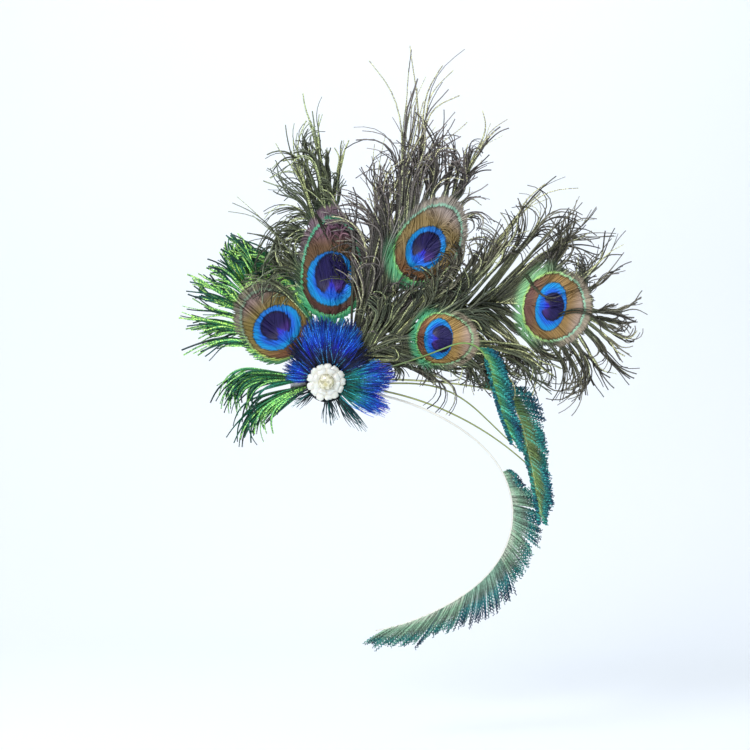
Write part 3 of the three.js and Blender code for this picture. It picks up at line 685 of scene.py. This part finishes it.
def eye_ribs(feather, line, chance, lift):
    """The barbs of the flat egg, cut off along its outline"""
    WIDE = 1.2
    FINE = 60
    half = feather["eye"] * EYE_HALF
    back, front = feather["egg"][0] + 0.15, feather["egg"][1] + 0.25
    count = round((back + front) * half / RIB_PITCH)
    row = np.linspace(0, 1, count)
    sets = []
    for side in (1, -1):
        share = feather["notch"] + (row * (back + front - 0.4) - back) * half / (feather["stem"] * EYE_SHAFT)
        x, z, heading = on_line(line, np.clip(share, 0, 1))
        leave = side * (76 - 72 * row**0.8 + chance.normal(0, 0.6, count))
        length = np.full(count, (back + front) * half)
        x, z, heading = trace(x, z, heading + leave, length, bend=-side * 26 * (1 - row), steps=FINE)
        across, along = eye_place(feather, line, x, z)
        reach = np.where(along > 0, front, back)
        ragged = 1 + chance.normal(0, 0.025, count)
        outside = np.hypot(across / WIDE, along / reach) > ragged[:, None]
        outside[:, -1] = True
        end = np.maximum(np.argmax(outside, axis=1), 2)
        t = np.linspace(0, 1, RIB_RINGS)
        fine = end[:, None] * t
        x = np.array([np.interp(places, range(FINE + 1), values) for places, values in zip(fine, x)])
        z = np.array([np.interp(places, range(FINE + 1), values) for places, values in zip(fine, z)])
        widths = each((0.7 + 0.45 * t) * MM * (1 - 0.7 * smoothed(t, 0.9, 1)), x)
        lifts = lift + chance.uniform(0, 0.2, count)[:, None] * MM
        strand, eye = strand_marks(feather, line, x, z, t, chance.random(count), chance.random(count))
        twist = each(chance.normal(0, 0.16, count)[:, None], x)
        sets.append((laid(feather["layer"], x, z, lifts), widths, 0.25 * widths, twist, strand, eye))
    return joined(sets)


def loose_herl(feather, line, chance):
    """The loose strands of an eye feather, gathered in locks"""
    IN_LOCK = 7
    count = feather["strands"]
    locks = count // IN_LOCK
    home_at = (np.arange(locks) + chance.uniform(0.1, 0.9, locks)) / locks
    lock = np.repeat(np.arange(locks), IN_LOCK)
    count = len(lock)
    own_at = home_at[lock] + chance.normal(0, 0.55 / locks, count)
    loose = feather["loose"]
    swerve = chance.normal(0, 4 * loose, locks)
    bow = chance.normal(0, 3, locks)[lock] + chance.normal(0, 1, count)
    farthest = np.where(home_at < 0.5, *feather["early"])
    early = (1 - farthest * np.maximum(0, chance.uniform(-0.7, 1, locks)))[lock]
    spike = chance.random(locks) < feather["spikes"]
    lock_reach = np.where(spike, chance.uniform(0.85, 1.04, locks), chance.uniform(*feather["mass"], locks))
    free = np.where(spike, 0.2, loose)
    lock_curl = chance.normal(0, 30, locks) * free
    lock_hook = chance.normal(0, 60, locks) * free

    def strands(at, which, stray, reach):
        row = columns_at(HERL_COLUMNS, feather["barbs"], at)
        x, z, heading = on_line(line, row["start"] * early)
        length = row["reach"] * feather["herl"] * EYE_HERL * lock_reach[which] * reach
        leave = row["leave"] + swerve[which]
        curl = row["curl"] * np.where(spike, 0.1, 1)[which] + lock_curl[which] + 14 * loose * stray
        hook = lock_hook[which] + 12 * loose * stray
        bend = row["bend"] + 5 * loose * stray
        return trace(x, z, heading + leave, length, bend, curl, hook=hook, steps=HERL_RINGS - 1), length

    own, length = strands(own_at, lock, chance.normal(0, 1, count), chance.uniform(0.72, 1.05, count))
    home, _ = strands(home_at[lock], lock, 0, 1)
    t = np.linspace(0, 1, HERL_RINGS)
    hold = chance.uniform(0.35, 0.85, locks)[lock][:, None]
    x, z, heading = gathered(own, home, hold * smoothed(t, 0.05, 0.5) * (1 - 0.5 * smoothed(t, 0.6, 1)))
    turns = t * chance.uniform(1, 2.5, count)[:, None] + chance.random(count)[:, None]
    wave = HERL_WAVE * loose * np.sin(math.tau * turns) * smoothed(t, 0.1, 0.6)
    way = np.radians(heading + 90)
    x = x + wave * np.cos(way)
    z = z + wave * np.sin(way)
    lift = (0.6 + chance.uniform(-0.3, 0.4, count)[:, None] + bow[:, None] * t**2) * MM
    thin = chance.uniform(0.75, 1.15, count)[:, None]
    widths = feather["fat"] * HERL_WIDTH * thin * (1 - 0.35 * smoothed(t, 0.6, 1.0))
    # Half the strands of a spike lock get a chance of 0.95, so they take the painted highlight colour
    single = np.maximum(chance.random(count), 0.95 * (spike[lock] & (chance.random(count) < 0.5)))
    strand, eye = strand_marks(feather, line, x, z, t, single, chance.random(locks)[lock])
    twist = chance.normal(0, 0.5, count)[:, None] + chance.normal(0, 1, count)[:, None] * t
    return laid(feather["layer"], x, z, lift), widths, 0.5 * widths, twist, strand, eye


def stray_curls(feather, line, chance):
    """A few strands that have sprung across the face of the eye, three together. Their place in the
    eye is given as far outside it, so that none of its rings colours them"""
    OUTSIDE = (0, 9, 0)
    row = dict(zip(STRAY_COLUMNS, np.repeat(np.array(feather["strays"], float), 3, axis=0).T))
    count = len(row["across"])
    notch_x, notch_z, heading = on_line(line, feather["notch"])
    way = math.radians(float(heading))
    half = feather["eye"] * EYE_HALF
    across = (row["across"] + chance.normal(0, 0.05, count)) * half
    along = (row["along"] + chance.normal(0, 0.05, count)) * half
    x = notch_x + along * math.cos(way) - across * math.sin(way)
    z = notch_z + along * math.sin(way) + across * math.cos(way)
    turn = heading + row["turn"] + chance.normal(0, 4, count)
    length = row["length"] * MM * chance.uniform(0.8, 1.1, count)
    curl = row["curl"] + chance.normal(0, 14, count)
    x, z, heading = trace(x, z, turn, length, row["bend"], curl, steps=HERL_RINGS - 1)
    t = np.linspace(0, 1, HERL_RINGS)
    lift = (1.9 + chance.uniform(0, 0.5, count)[:, None] + chance.uniform(0, 1, count)[:, None] * t) * MM
    widths = each(HERL_WIDTH * (0.8 - 0.4 * t), x)
    single = chance.uniform(0.2, 0.6, count)
    strand, eye = strand_marks(feather, line, x, z, t, single, chance.random(count))
    twist = each(chance.normal(0, 0.5, count)[:, None], x)
    return laid(feather["layer"], x, z, lift), widths, 0.5 * widths, twist, strand, eye + OUTSIDE


def egg_group():
    """How far a place in the eye is from the middle of an egg, where its outline is 1"""
    group = bpy.data.node_groups.new("egg_distance", "ShaderNodeTree")
    group.interface.new_socket("Place", in_out="INPUT", socket_type="NodeSocketVector")
    for label in ("Middle", "Half Width", "Back", "Front"):
        group.interface.new_socket(label, in_out="INPUT", socket_type="NodeSocketFloat")
    group.interface.new_socket("Distance", in_out="OUTPUT", socket_type="NodeSocketFloat")
    given = group.nodes.new("NodeGroupInput").outputs
    out = group.nodes.new("NodeGroupOutput").inputs
    place = node(group, "SeparateXYZ", {0: given["Place"]})
    across = maths(group, "DIVIDE", place.outputs["X"], given["Half Width"])
    along = maths(group, "SUBTRACT", place.outputs["Y"], given["Middle"])
    ahead = maths(group, "DIVIDE", maths(group, "MAXIMUM", along, 0.0), given["Front"])
    behind = maths(group, "DIVIDE", maths(group, "MINIMUM", along, 0.0), given["Back"])
    spot = node(group, "CombineXYZ", {0: across, 1: ahead, 2: behind}).outputs[0]
    feed(group, out["Distance"], node(group, "VectorMath", {0: spot}, operation="LENGTH").outputs["Value"])
    return group


egg_distance = egg_group()
EYE_SIZES = ("Egg Back", "Egg Front", "Oval Half", "Oval Reach", "Heart Middle", "Heart Half", "Heart Reach")
EYE_HUES = ("Bronze Root", "Bronze Side", "Bronze Tip", "Line Root", "Line Tip", "Fringe", "Herl")


def eye_group():
    """The rings of an eye: a violet heart with its notch towards the quill, a blue oval, a bronze
    egg, a pale line and a soft outer band. Each barb carries its rings a little in or out"""
    group = bpy.data.node_groups.new("eye_rings", "ShaderNodeTree")
    for label in EYE_SIZES:
        group.interface.new_socket(label, in_out="INPUT", socket_type="NodeSocketFloat")
    for label in EYE_HUES:
        group.interface.new_socket(label, in_out="INPUT", socket_type="NodeSocketColor")
    group.interface.new_socket("Color", in_out="OUTPUT", socket_type="NodeSocketColor")
    group.interface.new_socket("Inside", in_out="OUTPUT", socket_type="NodeSocketFloat")
    given = group.nodes.new("NodeGroupInput").outputs
    out = group.nodes.new("NodeGroupOutput").inputs
    place = node(group, "Attribute", attribute_name="eye").outputs["Vector"]
    spot = node(group, "SeparateXYZ", {0: place})
    across, along = spot.outputs["X"], spot.outputs["Y"]
    single = strand_values(group)["Y"]
    comb = ranged(group, single, 0, 1, -0.025, 0.025, smooth=False)

    def distance(middle, half, back, front):
        inputs = {"Place": place, "Middle": middle, "Half Width": half, "Back": back, "Front": front}
        egg = node(group, "Group", node_tree=egg_distance)
        for key, value in inputs.items():
            feed(group, egg.inputs[key], value)
        return maths(group, "ADD", egg.outputs[0], comb)

    def within(value, edge, soft):
        return ranged(group, value, edge - soft, edge + soft, 1.0, 0.0)

    heart = distance(given["Heart Middle"], given["Heart Half"], given["Heart Reach"], given["Heart Reach"])
    oval = distance(0.0, given["Oval Half"], given["Oval Reach"], given["Oval Reach"])
    egg = distance(0.0, 1.0, given["Egg Back"], given["Egg Front"])
    ahead = maths(group, "DIVIDE", along, given["Egg Front"])
    behind = maths(group, "DIVIDE", along, given["Egg Back"])

    side = maths(group, "DIVIDE", maths(group, "ABSOLUTE", across), given["Heart Half"])
    deep = maths(group, "DIVIDE", along, given["Heart Reach"])
    wedge = maths(group, "ADD", side, maths(group, "MULTIPLY", deep, 0.55))
    wedge = within(maths(group, "ADD", wedge, maths(group, "MULTIPLY", comb, 3.0)), 0.0, 0.07)
    low_lobe = mixed(group, ranged(group, across, -0.3, 0.25), tint("#50308c"), tint("#4a4560"))
    lobes = mixed(group, ranged(group, deep, -0.6, 0.25), low_lobe, tint("#1d1552"))
    lobes = mixed(group, ranged(group, heart, 0.78, 1.0), lobes, tint("#0c0d30"))
    blue = mixed(group, ranged(group, oval, 0.2, 0.62), tint("#3c35d0"), tint("#1f68dc"))
    blue = mixed(group, ranged(group, oval, 0.66, 0.9), blue, tint("#1498dc"))
    crest = maths(group, "DIVIDE", along, given["Oval Reach"])
    blue = mixed(group, ranged(group, crest, 0.35, 0.9, 0, 0.4), blue, tint("#3038c8"))
    inner = maths(group, "MULTIPLY", within(heart, 1.0, 0.05), maths(group, "SUBTRACT", 1.0, wedge))
    eye = mixed(group, inner, blue, lobes)

    bronze = mixed(group, ranged(group, behind, -0.85, -0.1), given["Bronze Root"], given["Bronze Side"])
    bronze = mixed(group, ranged(group, ahead, 0.5, 0.95), bronze, given["Bronze Tip"])
    bronze = mixed(group, ranged(group, oval, 1.0, 1.08), tint("#33402c"), bronze)
    bronze = mixed(group, ranged(group, egg, 0.93, 0.99, 0.0, 0.7), bronze, tint("#2e2a1e"))
    line = mixed(group, ranged(group, along, -0.3, 0.7), given["Line Root"], given["Line Tip"])
    band = mixed(group, ranged(group, ahead, 0.1, 0.8, 0.0, 0.8), given["Herl"], given["Bronze Tip"])
    fringe = maths(group, "MULTIPLY", within(egg, 1.3, 0.18), ranged(group, behind, -0.8, 0.0, 0.9, 0.08))

    colour = mixed(group, within(egg, 1.24, 0.05), given["Herl"], band)
    colour = mixed(group, fringe, colour, given["Fringe"])
    colour = mixed(group, within(egg, 1.06, 0.02), colour, line)
    colour = mixed(group, within(egg, 1.0, 0.012), colour, bronze)
    colour = mixed(group, within(oval, 1.0, 0.03), colour, eye)
    light = ranged(group, single, 0, 1, 0.82, 1.18)
    shown = node(group, "HueSaturation", {"Value": light, "Color": colour}).outputs[0]
    feed(group, out["Color"], shown)
    feed(group, out["Inside"], within(egg, 1.1, 0.05))
    return group


eye_rings = eye_group()


def eye_finish(feather):
    """The look of an eye feather's strands: herl outside the eye and rings within it"""
    material, tree, shader = finish(feather["name"] + "_strand", Roughness=0.4)
    tone = toned(tree, feather["hues"], feather["painted_glint"], 1.6, 0.55, feather["rarity"])
    rings = node(tree, "Group", node_tree=eye_rings)
    for label, size in zip(EYE_SIZES, (*feather["egg"], *feather["oval"], *feather["heart"])):
        rings.inputs[label].default_value = size
    for label, hue in zip(EYE_HUES, (*feather["bronze"], *feather["line"], feather["fringe"])):
        rings.inputs[label].default_value = tint(hue)
    feed(tree, rings.inputs["Herl"], tone.outputs["Color"])
    feed(tree, shader.inputs["Base Color"], rings.outputs["Color"])
    feed(tree, shader.inputs["Metallic"], ranged(tree, rings.outputs["Inside"], 0, 1, 0.2, 0.35))
    bumped(tree, shader, tone.outputs["Fleck"], 0.06 * MM, 0.4)
    return material


# Its third colour is the painted shade of the quill's sides and back
herl_horn = horn("herl_quill_horn", tint("#c9cba0"), tint("#8f9460"), tint("#2e2a18"))
for number, feather in enumerate(EYE_FEATHERS):
    chance = np.random.default_rng(70 + number)
    name = feather["name"]
    line = shaft_line(feather, EYE_SHAFT)
    coat = eye_finish(feather)
    layers = [eye_ribs(feather, line, chance, lift * MM) for lift in (0.7, 1.0)]
    loose = [loose_herl(feather, line, chance), stray_curls(feather, line, chance)]
    for part, blades in (("_eye", layers), ("_herl", loose)):
        points, widths, thicks, twist, strand, eye = joined(blades)
        piece = sweep(name + part, points, BLADE, widths, thicks, twist, {"strand": strand, "eye": eye})
        piece.data.materials.append(coat)
        hand_over(piece, "eye_feather", name)
    rod = quill_rod(name + "_quill", feather, EYE_SHAFT, QUILL)
    rod.data.materials.append(herl_horn)
    hand_over(rod, "quill", name)

# Green tufts: two bunches of bright green herl from the side of a tail, on short shafts below the
# front feather. Their tips are fine and dark, and curl down.
TUFT_SHAFT = 16 * MM
TUFT_HERL = 62 * MM
TUFT_STRANDS = 52
TUFT_STRAND_WIDTH = 1.5 * MM
TUFT_COLUMNS = ("leave", "reach", "bend", "curl")
GREEN_TUFTS = [
    {"name": "green_tuft_upper", "layer": 0, "clock": 172, "heading": 172, "stem": 1, "herl": 1,
     "barbs": [(-4, 1, 10, 80), (8, 0.86, 16, 60)]},
    {"name": "green_tuft_lower", "layer": 0, "clock": 194, "heading": 190, "stem": 1, "herl": 0.9,
     "barbs": [(0, 0.9, 20, 50), (10, 0.94, 26, 36), (18, 0.7, 10, 10)]},
]
TUFT_HUES = ("#2a3f22", "#357038", "#2a8c58", "#228062", "#1a463a")
tuft_coat = barb_finish("green_tuft_herl", TUFT_HUES, "#a4e070", spread=1.6, flecks=0.6, rarity=0.5)
for number, tuft in enumerate(GREEN_TUFTS):
    chance = np.random.default_rng(90 + number)
    line = shaft_line(tuft, TUFT_SHAFT)
    row = columns_at(TUFT_COLUMNS, tuft["barbs"], np.round(chance.random(TUFT_STRANDS) * 2) / 2)
    x, z, heading = on_line(line, chance.uniform(0.1, 0.95, TUFT_STRANDS))
    length = row["reach"] * tuft["herl"] * TUFT_HERL * chance.uniform(0.75, 1.12, TUFT_STRANDS)
    leave = heading + row["leave"] + chance.normal(0, 3, TUFT_STRANDS)
    curl = row["curl"] + chance.normal(0, 16, TUFT_STRANDS)
    x, z, heading = trace(x, z, leave, length, row["bend"], curl, steps=HERL_RINGS - 1)
    t = np.linspace(0, 1, HERL_RINGS)
    bow = chance.normal(0, 3, TUFT_STRANDS)[:, None] * t**2
    points = laid(tuft["layer"], x, z, (1 + chance.uniform(-0.5, 0.5, TUFT_STRANDS)[:, None] + bow) * MM)
    swelling = (0.5 + 0.5 * smoothed(t, 0, 0.4)) * (1 - 0.4 * smoothed(t, 0.7, 1))
    widths = each(TUFT_STRAND_WIDTH * swelling, x)
    chances = [chance.random(TUFT_STRANDS)[:, None] for _ in range(2)]
    marks = np.stack([each(values, x) for values in (t, *chances)], axis=-1)
    twist = chance.normal(0, 0.6, TUFT_STRANDS)[:, None] + chance.normal(0, 1, TUFT_STRANDS)[:, None] * t
    herl = sweep(tuft["name"] + "_herl", points, BLADE, widths, 0.5 * widths, twist, {"strand": marks})
    herl.data.materials.append(tuft_coat)
    hand_over(herl, "green_herl", tuft["name"])
    rod = quill_rod(tuft["name"] + "_quill", tuft, TUFT_SHAFT, QUILL)
    rod.data.materials.append(olive_horn)
    hand_over(rod, "quill", tuft["name"])

# Rosette plumes: short body feathers, royal blue over the quill ends, teal on the right and dark
# under the flower. Each has a fine shaft, and soft barbs that spread from its lower half like a fan.
PLUME_LENGTH = 38 * MM
PLUME_ROOT = 4 * MM
PLUME_BARB_WIDTH = 0.6 * MM
PLUME_RINGS = 9
PLUME_HUES = {
    "blue": (("#050818", "#0c1c60", "#1440c4", "#1a66d4", "#16307c"), "#4fa8e0"),
    "navy": (("#0a0f20", "#0f1838", "#101e50", "#0f1840", "#0c1228"), "#2a58c0"),
    "teal": (("#0a4a44", "#0f7a6c", "#1466b0", "#1f50c8", "#3f3fc0"), "#3fb0c8"),
    "dark": (("#0a1518", "#10262c", "#143840", "#184a50", "#1f5f5c"), "#2a7f74"),
}
PLUME_COLUMNS = ("name", "hue", "layer", "clock", "length", "fan", "barbs")
PLUMES = [
    ("blue_plume_1", "blue", 2, 158, 0.63, 24, 240),
    ("blue_plume_2", "navy", 3, 128, 0.79, 16, 150),
    ("blue_plume_3", "blue", 4, 98, 0.95, 22, 460),
    ("blue_plume_4", "blue", 6, 68, 0.95, 22, 460),
    ("blue_plume_5", "navy", 6, 38, 0.79, 16, 120),
    ("blue_plume_6", "teal", 6, 6, 1, 18, 400),
    ("blue_plume_7", "teal", 4, -24, 1, 11, 220),
    ("dark_plume_1", "dark", 2, -52, 0.9, 7, 40),
    ("dark_plume_2", "dark", 1, -84, 0.63, 16, 26),
    ("dark_plume_3", "dark", 1, 214, 0.63, 16, 26),
]
plume_coats = {
    hue: barb_finish(hue + "_plume_barb", hues, painted_glint, spread=1.5, rarity=0.86)
    for hue, (hues, painted_glint) in PLUME_HUES.items()
}
for number, row in enumerate(PLUMES):
    plume = dict(zip(PLUME_COLUMNS, row))
    chance = np.random.default_rng(110 + number)
    count = plume["barbs"]
    length = plume["length"] * PLUME_LENGTH
    clock = math.radians(plume["clock"])
    root_x, root_z = PLUME_ROOT * math.cos(clock), PLUME_ROOT * math.sin(clock)
    line = trace(root_x, root_z, plume["clock"], length * 0.85, steps=PLUME_RINGS - 1)
    lean = chance.uniform(-1, 1, count)
    start_x, start_z, _ = on_line(line, chance.uniform(0, 0.75, count) * (1 - 0.6 * np.abs(lean)))
    aim = clock + np.radians(plume["fan"] * lean + chance.normal(0, 3, count))
    reach = length * (1 - 0.2 * lean**2) * chance.uniform(0.72, 1.06, count)
    run = root_x + reach * np.cos(aim) - start_x
    rise = root_z + reach * np.sin(aim) - start_z
    bend = -26 * lean + chance.normal(0, 14, count)
    leave = np.degrees(np.arctan2(rise, run)) - bend / 2
    x, z, _ = trace(start_x, start_z, leave, np.hypot(run, rise) * 1.02, bend, steps=PLUME_RINGS - 1)
    x, z = np.vstack([x, line[0]]), np.vstack([z, line[1]])
    t = np.linspace(0, 1, PLUME_RINGS)
    above = (LONG_QUILL + CLEAR) / MM + np.append(chance.uniform(0, 1.2, count), 1.4)[:, None]
    rising = np.append(chance.normal(0.5, 0.8, count), 0)[:, None] * t**2
    points = laid(plume["layer"], x, z, (above + rising) * MM)
    widths = each(PLUME_BARB_WIDTH * (1 - 0.5 * smoothed(t, 0.5, 1)), x)
    outer = np.clip((np.hypot(x - root_x, z - root_z) / length - 0.26) / 0.74, 0, 1)
    # The shaft's chance of 1 paints it all along in the glint colour, a painted highlight
    single = np.append(chance.random(count), 1)[:, None]
    shared = np.append(chance.random(count), 0.5)[:, None]
    marks = np.stack([each(values, x) for values in (outer, single, shared)], axis=-1)
    twist = each(np.append(chance.normal(0, 0.5, count), 0)[:, None], x)
    barbs = sweep(plume["name"] + "_barbs", points, BLADE, widths, 0.5 * widths, twist, {"strand": marks})
    barbs.data.materials.append(plume_coats[plume["hue"]])
    hand_over(barbs, "dark_plume" if plume["hue"] == "dark" else "blue_plume", plume["name"])

# Flower button: a moulded ivory rosette, thirteen fat ruffled petals with a smaller ring above them,
# cast as one with the cup for the stone and the post that goes down to the pad.
FLOWER_RADIUS = 12 * MM
INNER_RADIUS = 9 * MM
STONE_RADIUS = 5.3 * MM
PETAL_HEIGHT = 3.4 * MM
PETAL_RISE = 1.1 * MM
POST_RADIUS = 2.2 * MM
FLOWER_BACK = PAD_FRONT + CLEAR + LONG_QUILL + CLEAR + 0.8 * MM + CLEAR
CUP_HEIGHT = PETAL_HEIGHT + PETAL_RISE
chance = np.random.default_rng(5)


def petal(radius, middle, across, angle):
    """A petal like a ruffled cushion, made lying along X and turned to its place in its ring"""
    bpy.ops.mesh.primitive_uv_sphere_add(segments=40, ring_count=20, radius=1, location=(0, 0, 0))
    made = bpy.context.object
    inside = STONE_RADIUS * 0.75
    radius = radius * chance.uniform(0.95, 1.03)
    for vertex in made.data.vertices:
        run, rise, deep = vertex.co
        rim = math.hypot(run, rise)
        around = math.atan2(rise, run)
        ruffle = 0.03 * math.sin(5 * around + angle * 7) + 0.02 * math.sin(9 * around + angle * 3)
        fold = 0.14 * math.sin(3 * around + angle * 5) * rim**3
        full = 1 + 0.16 * rim**2 * abs(math.sin(2 * around))
        vertex.co = (
            (radius + inside) / 2 + (radius - inside) / 2 * run * full * (1 + ruffle),
            -middle + PETAL_HEIGHT / 2 * (fold - deep),
            across * rise * full * (1 + 0.4 * run) * (1 + ruffle),
        )
    made.rotation_euler = (0, angle, 0)
    bpy.ops.object.transform_apply(location=True, rotation=True, scale=True)
    return made


casting = []
outer_middle = FLOWER_BACK + PETAL_HEIGHT / 2
inner_middle = outer_middle + PETAL_RISE
PETAL_RINGS = [(13, FLOWER_RADIUS, outer_middle, 0), (8, INNER_RADIUS, inner_middle, 0.5)]
for petals, radius, middle, turn in PETAL_RINGS:
    across = 1.12 * math.pi * (radius + STONE_RADIUS * 0.75) / 2 / petals
    for i in range(petals):
        angle = math.tau * (i + turn) / petals + chance.normal(0, 0.03)
        casting.append(petal(radius, middle, across, angle))
for radius, back, front in (
    (POST_RADIUS, PAD_FRONT + CLEAR, outer_middle),
    (STONE_RADIUS + 0.5 * MM, FLOWER_BACK, FLOWER_BACK + CUP_HEIGHT + 0.5 * MM),
):
    bpy.ops.mesh.primitive_cylinder_add(
        vertices=64,
        radius=radius,
        depth=front - back,
        location=(0, -(back + front) / 2, 0),
        rotation=(math.radians(90), 0, 0),
    )
    bpy.ops.object.transform_apply(location=True, rotation=True, scale=True)
    casting.append(bpy.context.object)
cup = casting[-1]
pick_faces(cup, lambda face: len(face.vertices) > 4 and face.normal.y < 0)
bpy.ops.mesh.inset(thickness=0.6 * MM)
bpy.ops.mesh.extrude_region_move(TRANSFORM_OT_translate={"value": (0, 0.4 * MM, 0)})
bpy.ops.object.mode_set(mode="OBJECT")
for part in casting:
    part.select_set(True)
bpy.ops.object.join()
flower = bpy.context.object
flower.name = "flower_button_casting"
bpy.ops.object.shade_smooth_by_angle(angle=math.radians(50))
ivory, tree, shader = finish("ivory_casting", Roughness=0.3, Coat_Weight=0.4, Subsurface_Weight=0.15)
place = node(tree, "TexCoord").outputs["Object"]
pearl = node(tree, "TexNoise", {"Vector": place, "Scale": 420.0, "Detail": 4.0}).outputs[0]
ivory_colour = mixed(tree, ranged(tree, pearl, 0.35, 0.7), tint("#fdfaf0"), tint("#efe8d6"))
feed(tree, shader.inputs["Base Color"], ivory_colour)
bumped(tree, shader, pearl, 0.12 * MM, 0.4)
flower.data.materials.append(ivory)
hand_over(flower, "flower", "flower_button")

# Centre stone: a cream glass stone, cut flat on a wheel with an eight sided table, three rows of
# facets round it and a thin girdle, set in the cup. The light that foil behind it throws back is
# painted into its colour as olive flashes.
STONE_HEIGHT = 3.2 * MM
STONE_BACK = FLOWER_BACK + CUP_HEIGHT + CLEAR
CUT_RINGS = [
    (16, 0.9, 0, 0), (16, 1, 0.26, 0.5), (16, 1, 0.32, 0.5), (16, 0.86, 0.6, 0), (8, 0.7, 0.82, 0.5),
    (8, 0.46, 1, 0),
]
corners = [
    (
        STONE_RADIUS * reach * math.cos(math.tau * (i + turn) / count),
        -STONE_BACK - STONE_HEIGHT * height,
        STONE_RADIUS * reach * math.sin(math.tau * (i + turn) / count),
    )
    for count, reach, height, turn in CUT_RINGS
    for i in range(count)
]
cut = bpy.data.meshes.new("centre_stone_cut")
cut.from_pydata(corners, [], [])
stone = bpy.data.objects.new("centre_stone_cut", cut)
bpy.context.scene.collection.objects.link(stone)
bpy.ops.object.select_all(action="DESELECT")
bpy.context.view_layer.objects.active = stone
stone.select_set(True)
bpy.ops.object.mode_set(mode="EDIT")
bpy.ops.mesh.select_all(action="SELECT")
bpy.ops.mesh.convex_hull()
bpy.ops.mesh.dissolve_limited(angle_limit=math.radians(1))
bpy.ops.object.mode_set(mode="OBJECT")
cream, tree, shader = finish("cream_cut_glass", Roughness=0.05, Coat_Weight=1.0, IOR=1.6)
place = node(tree, "TexCoord").outputs["Object"]
cloud = node(tree, "TexNoise", {"Vector": place, "Scale": 300.0, "Detail": 2.0}).outputs[0]
cream_colour = mixed(tree, ranged(tree, cloud, 0.35, 0.7), tint("#f6f2dc"), tint("#cfc794"))
# Painted reflection: Voronoi cells tint the cream to olive where the facets would flash
painted_flash = node(tree, "TexVoronoi", {"Vector": place, "Scale": 620.0}).outputs["Color"]
painted_flash = node(tree, "SeparateXYZ", {0: painted_flash}).outputs["X"]
cream_colour = mixed(tree, ranged(tree, painted_flash, 0.55, 0.7, 0, 0.6), cream_colour, tint("#8f8a66"))
feed(tree, shader.inputs["Base Color"], cream_colour)
stone.data.materials.append(cream)
hand_over(stone, "stone", "centre_stone")

# Studio: a seamless pale sweep behind and under the spray, a broad soft key light from the upper
# left, a fill from the right, one from above and one on the sweep.
FLOOR = -0.24
WALL = 0.8
SWEEP_RADIUS = 0.35
SWEEP_HALF = 2.6
SWEEP_START = -2.4
SWEEP_TOP = 2.2
SWEEP_STEPS = 24
profile = [(SWEEP_START, FLOOR), (WALL - SWEEP_RADIUS, FLOOR)]
for step in range(1, SWEEP_STEPS + 1):
    angle = math.radians(90 * step / SWEEP_STEPS)
    run = SWEEP_RADIUS * math.sin(angle)
    rise = SWEEP_RADIUS * (1 - math.cos(angle))
    profile.append((WALL - SWEEP_RADIUS + run, FLOOR + rise))
profile.append((WALL, SWEEP_TOP))
sweep_points = [(x, y, z) for y, z in profile for x in (-SWEEP_HALF, SWEEP_HALF)]
sweep_faces = [(2 * i, 2 * i + 1, 2 * i + 3, 2 * i + 2) for i in range(len(profile) - 1)]
paper_mesh = bpy.data.meshes.new("studio_sweep")
paper_mesh.from_pydata(sweep_points, [], sweep_faces)
paper_mesh.shade_smooth()
paper = bpy.data.objects.new("studio_sweep", paper_mesh)
bpy.context.scene.collection.objects.link(paper)
sheet, tree, shader = finish("pale_paper", Roughness=0.9)
place = node(tree, "TexCoord").outputs["Object"]
tone = node(tree, "TexNoise", {"Vector": place, "Scale": 1.5, "Detail": 2.0}).outputs[0]
feed(tree, shader.inputs["Base Color"], mixed(tree, tone, tint("#eef3f9"), tint("#f3f7fb")))
paper_mesh.materials.append(sheet)

world = bpy.data.worlds.new("studio")
world.use_nodes = True
world.node_tree.nodes["Background"].inputs["Color"].default_value = (0.9, 0.95, 1, 1)
world.node_tree.nodes["Background"].inputs["Strength"].default_value = 0.5
bpy.context.scene.world = world

LIGHTS = [
    {"name": "key", "at": (-0.7, -1.1, 0.9), "aim": (0.03, 0, 0), "size": 0.6, "watts": 14},
    {"name": "fill", "at": (1.0, -0.9, 0.3), "aim": (0.03, 0, 0), "size": 0.9, "watts": 3},
    {"name": "top", "at": (0.1, 0.25, 1.0), "aim": (0.05, 0, 0), "size": 0.6, "watts": 3},
    {"name": "paper", "at": (0.1, 0.1, 1.1), "aim": (0.05, 0.8, 0.1), "size": 1.2, "watts": 1.8},
]
for lamp in LIGHTS:
    data = bpy.data.lights.new(lamp["name"], "AREA")
    data.size = lamp["size"]
    data.energy = lamp["watts"]
    light = bpy.data.objects.new(lamp["name"], data)
    bpy.context.scene.collection.objects.link(light)
    aim = np.subtract(lamp["aim"], lamp["at"])
    light.location = lamp["at"]
    flat_run = math.hypot(aim[0], aim[1])
    light.rotation_euler = (math.atan2(flat_run, -aim[2]), 0, math.atan2(-aim[0], aim[1]))

camera_data = bpy.data.cameras.new("camera")
camera_data.lens = 85
camera_data.sensor_width = 36
camera = bpy.data.objects.new("camera", camera_data)
camera.location = (0.0309, -1.134, 0.0044)
camera.rotation_euler = (math.radians(90), 0, 0)
bpy.context.scene.collection.objects.link(camera)
bpy.context.scene.camera = camera
bpy.context.scene.view_settings.view_transform = "Standard"
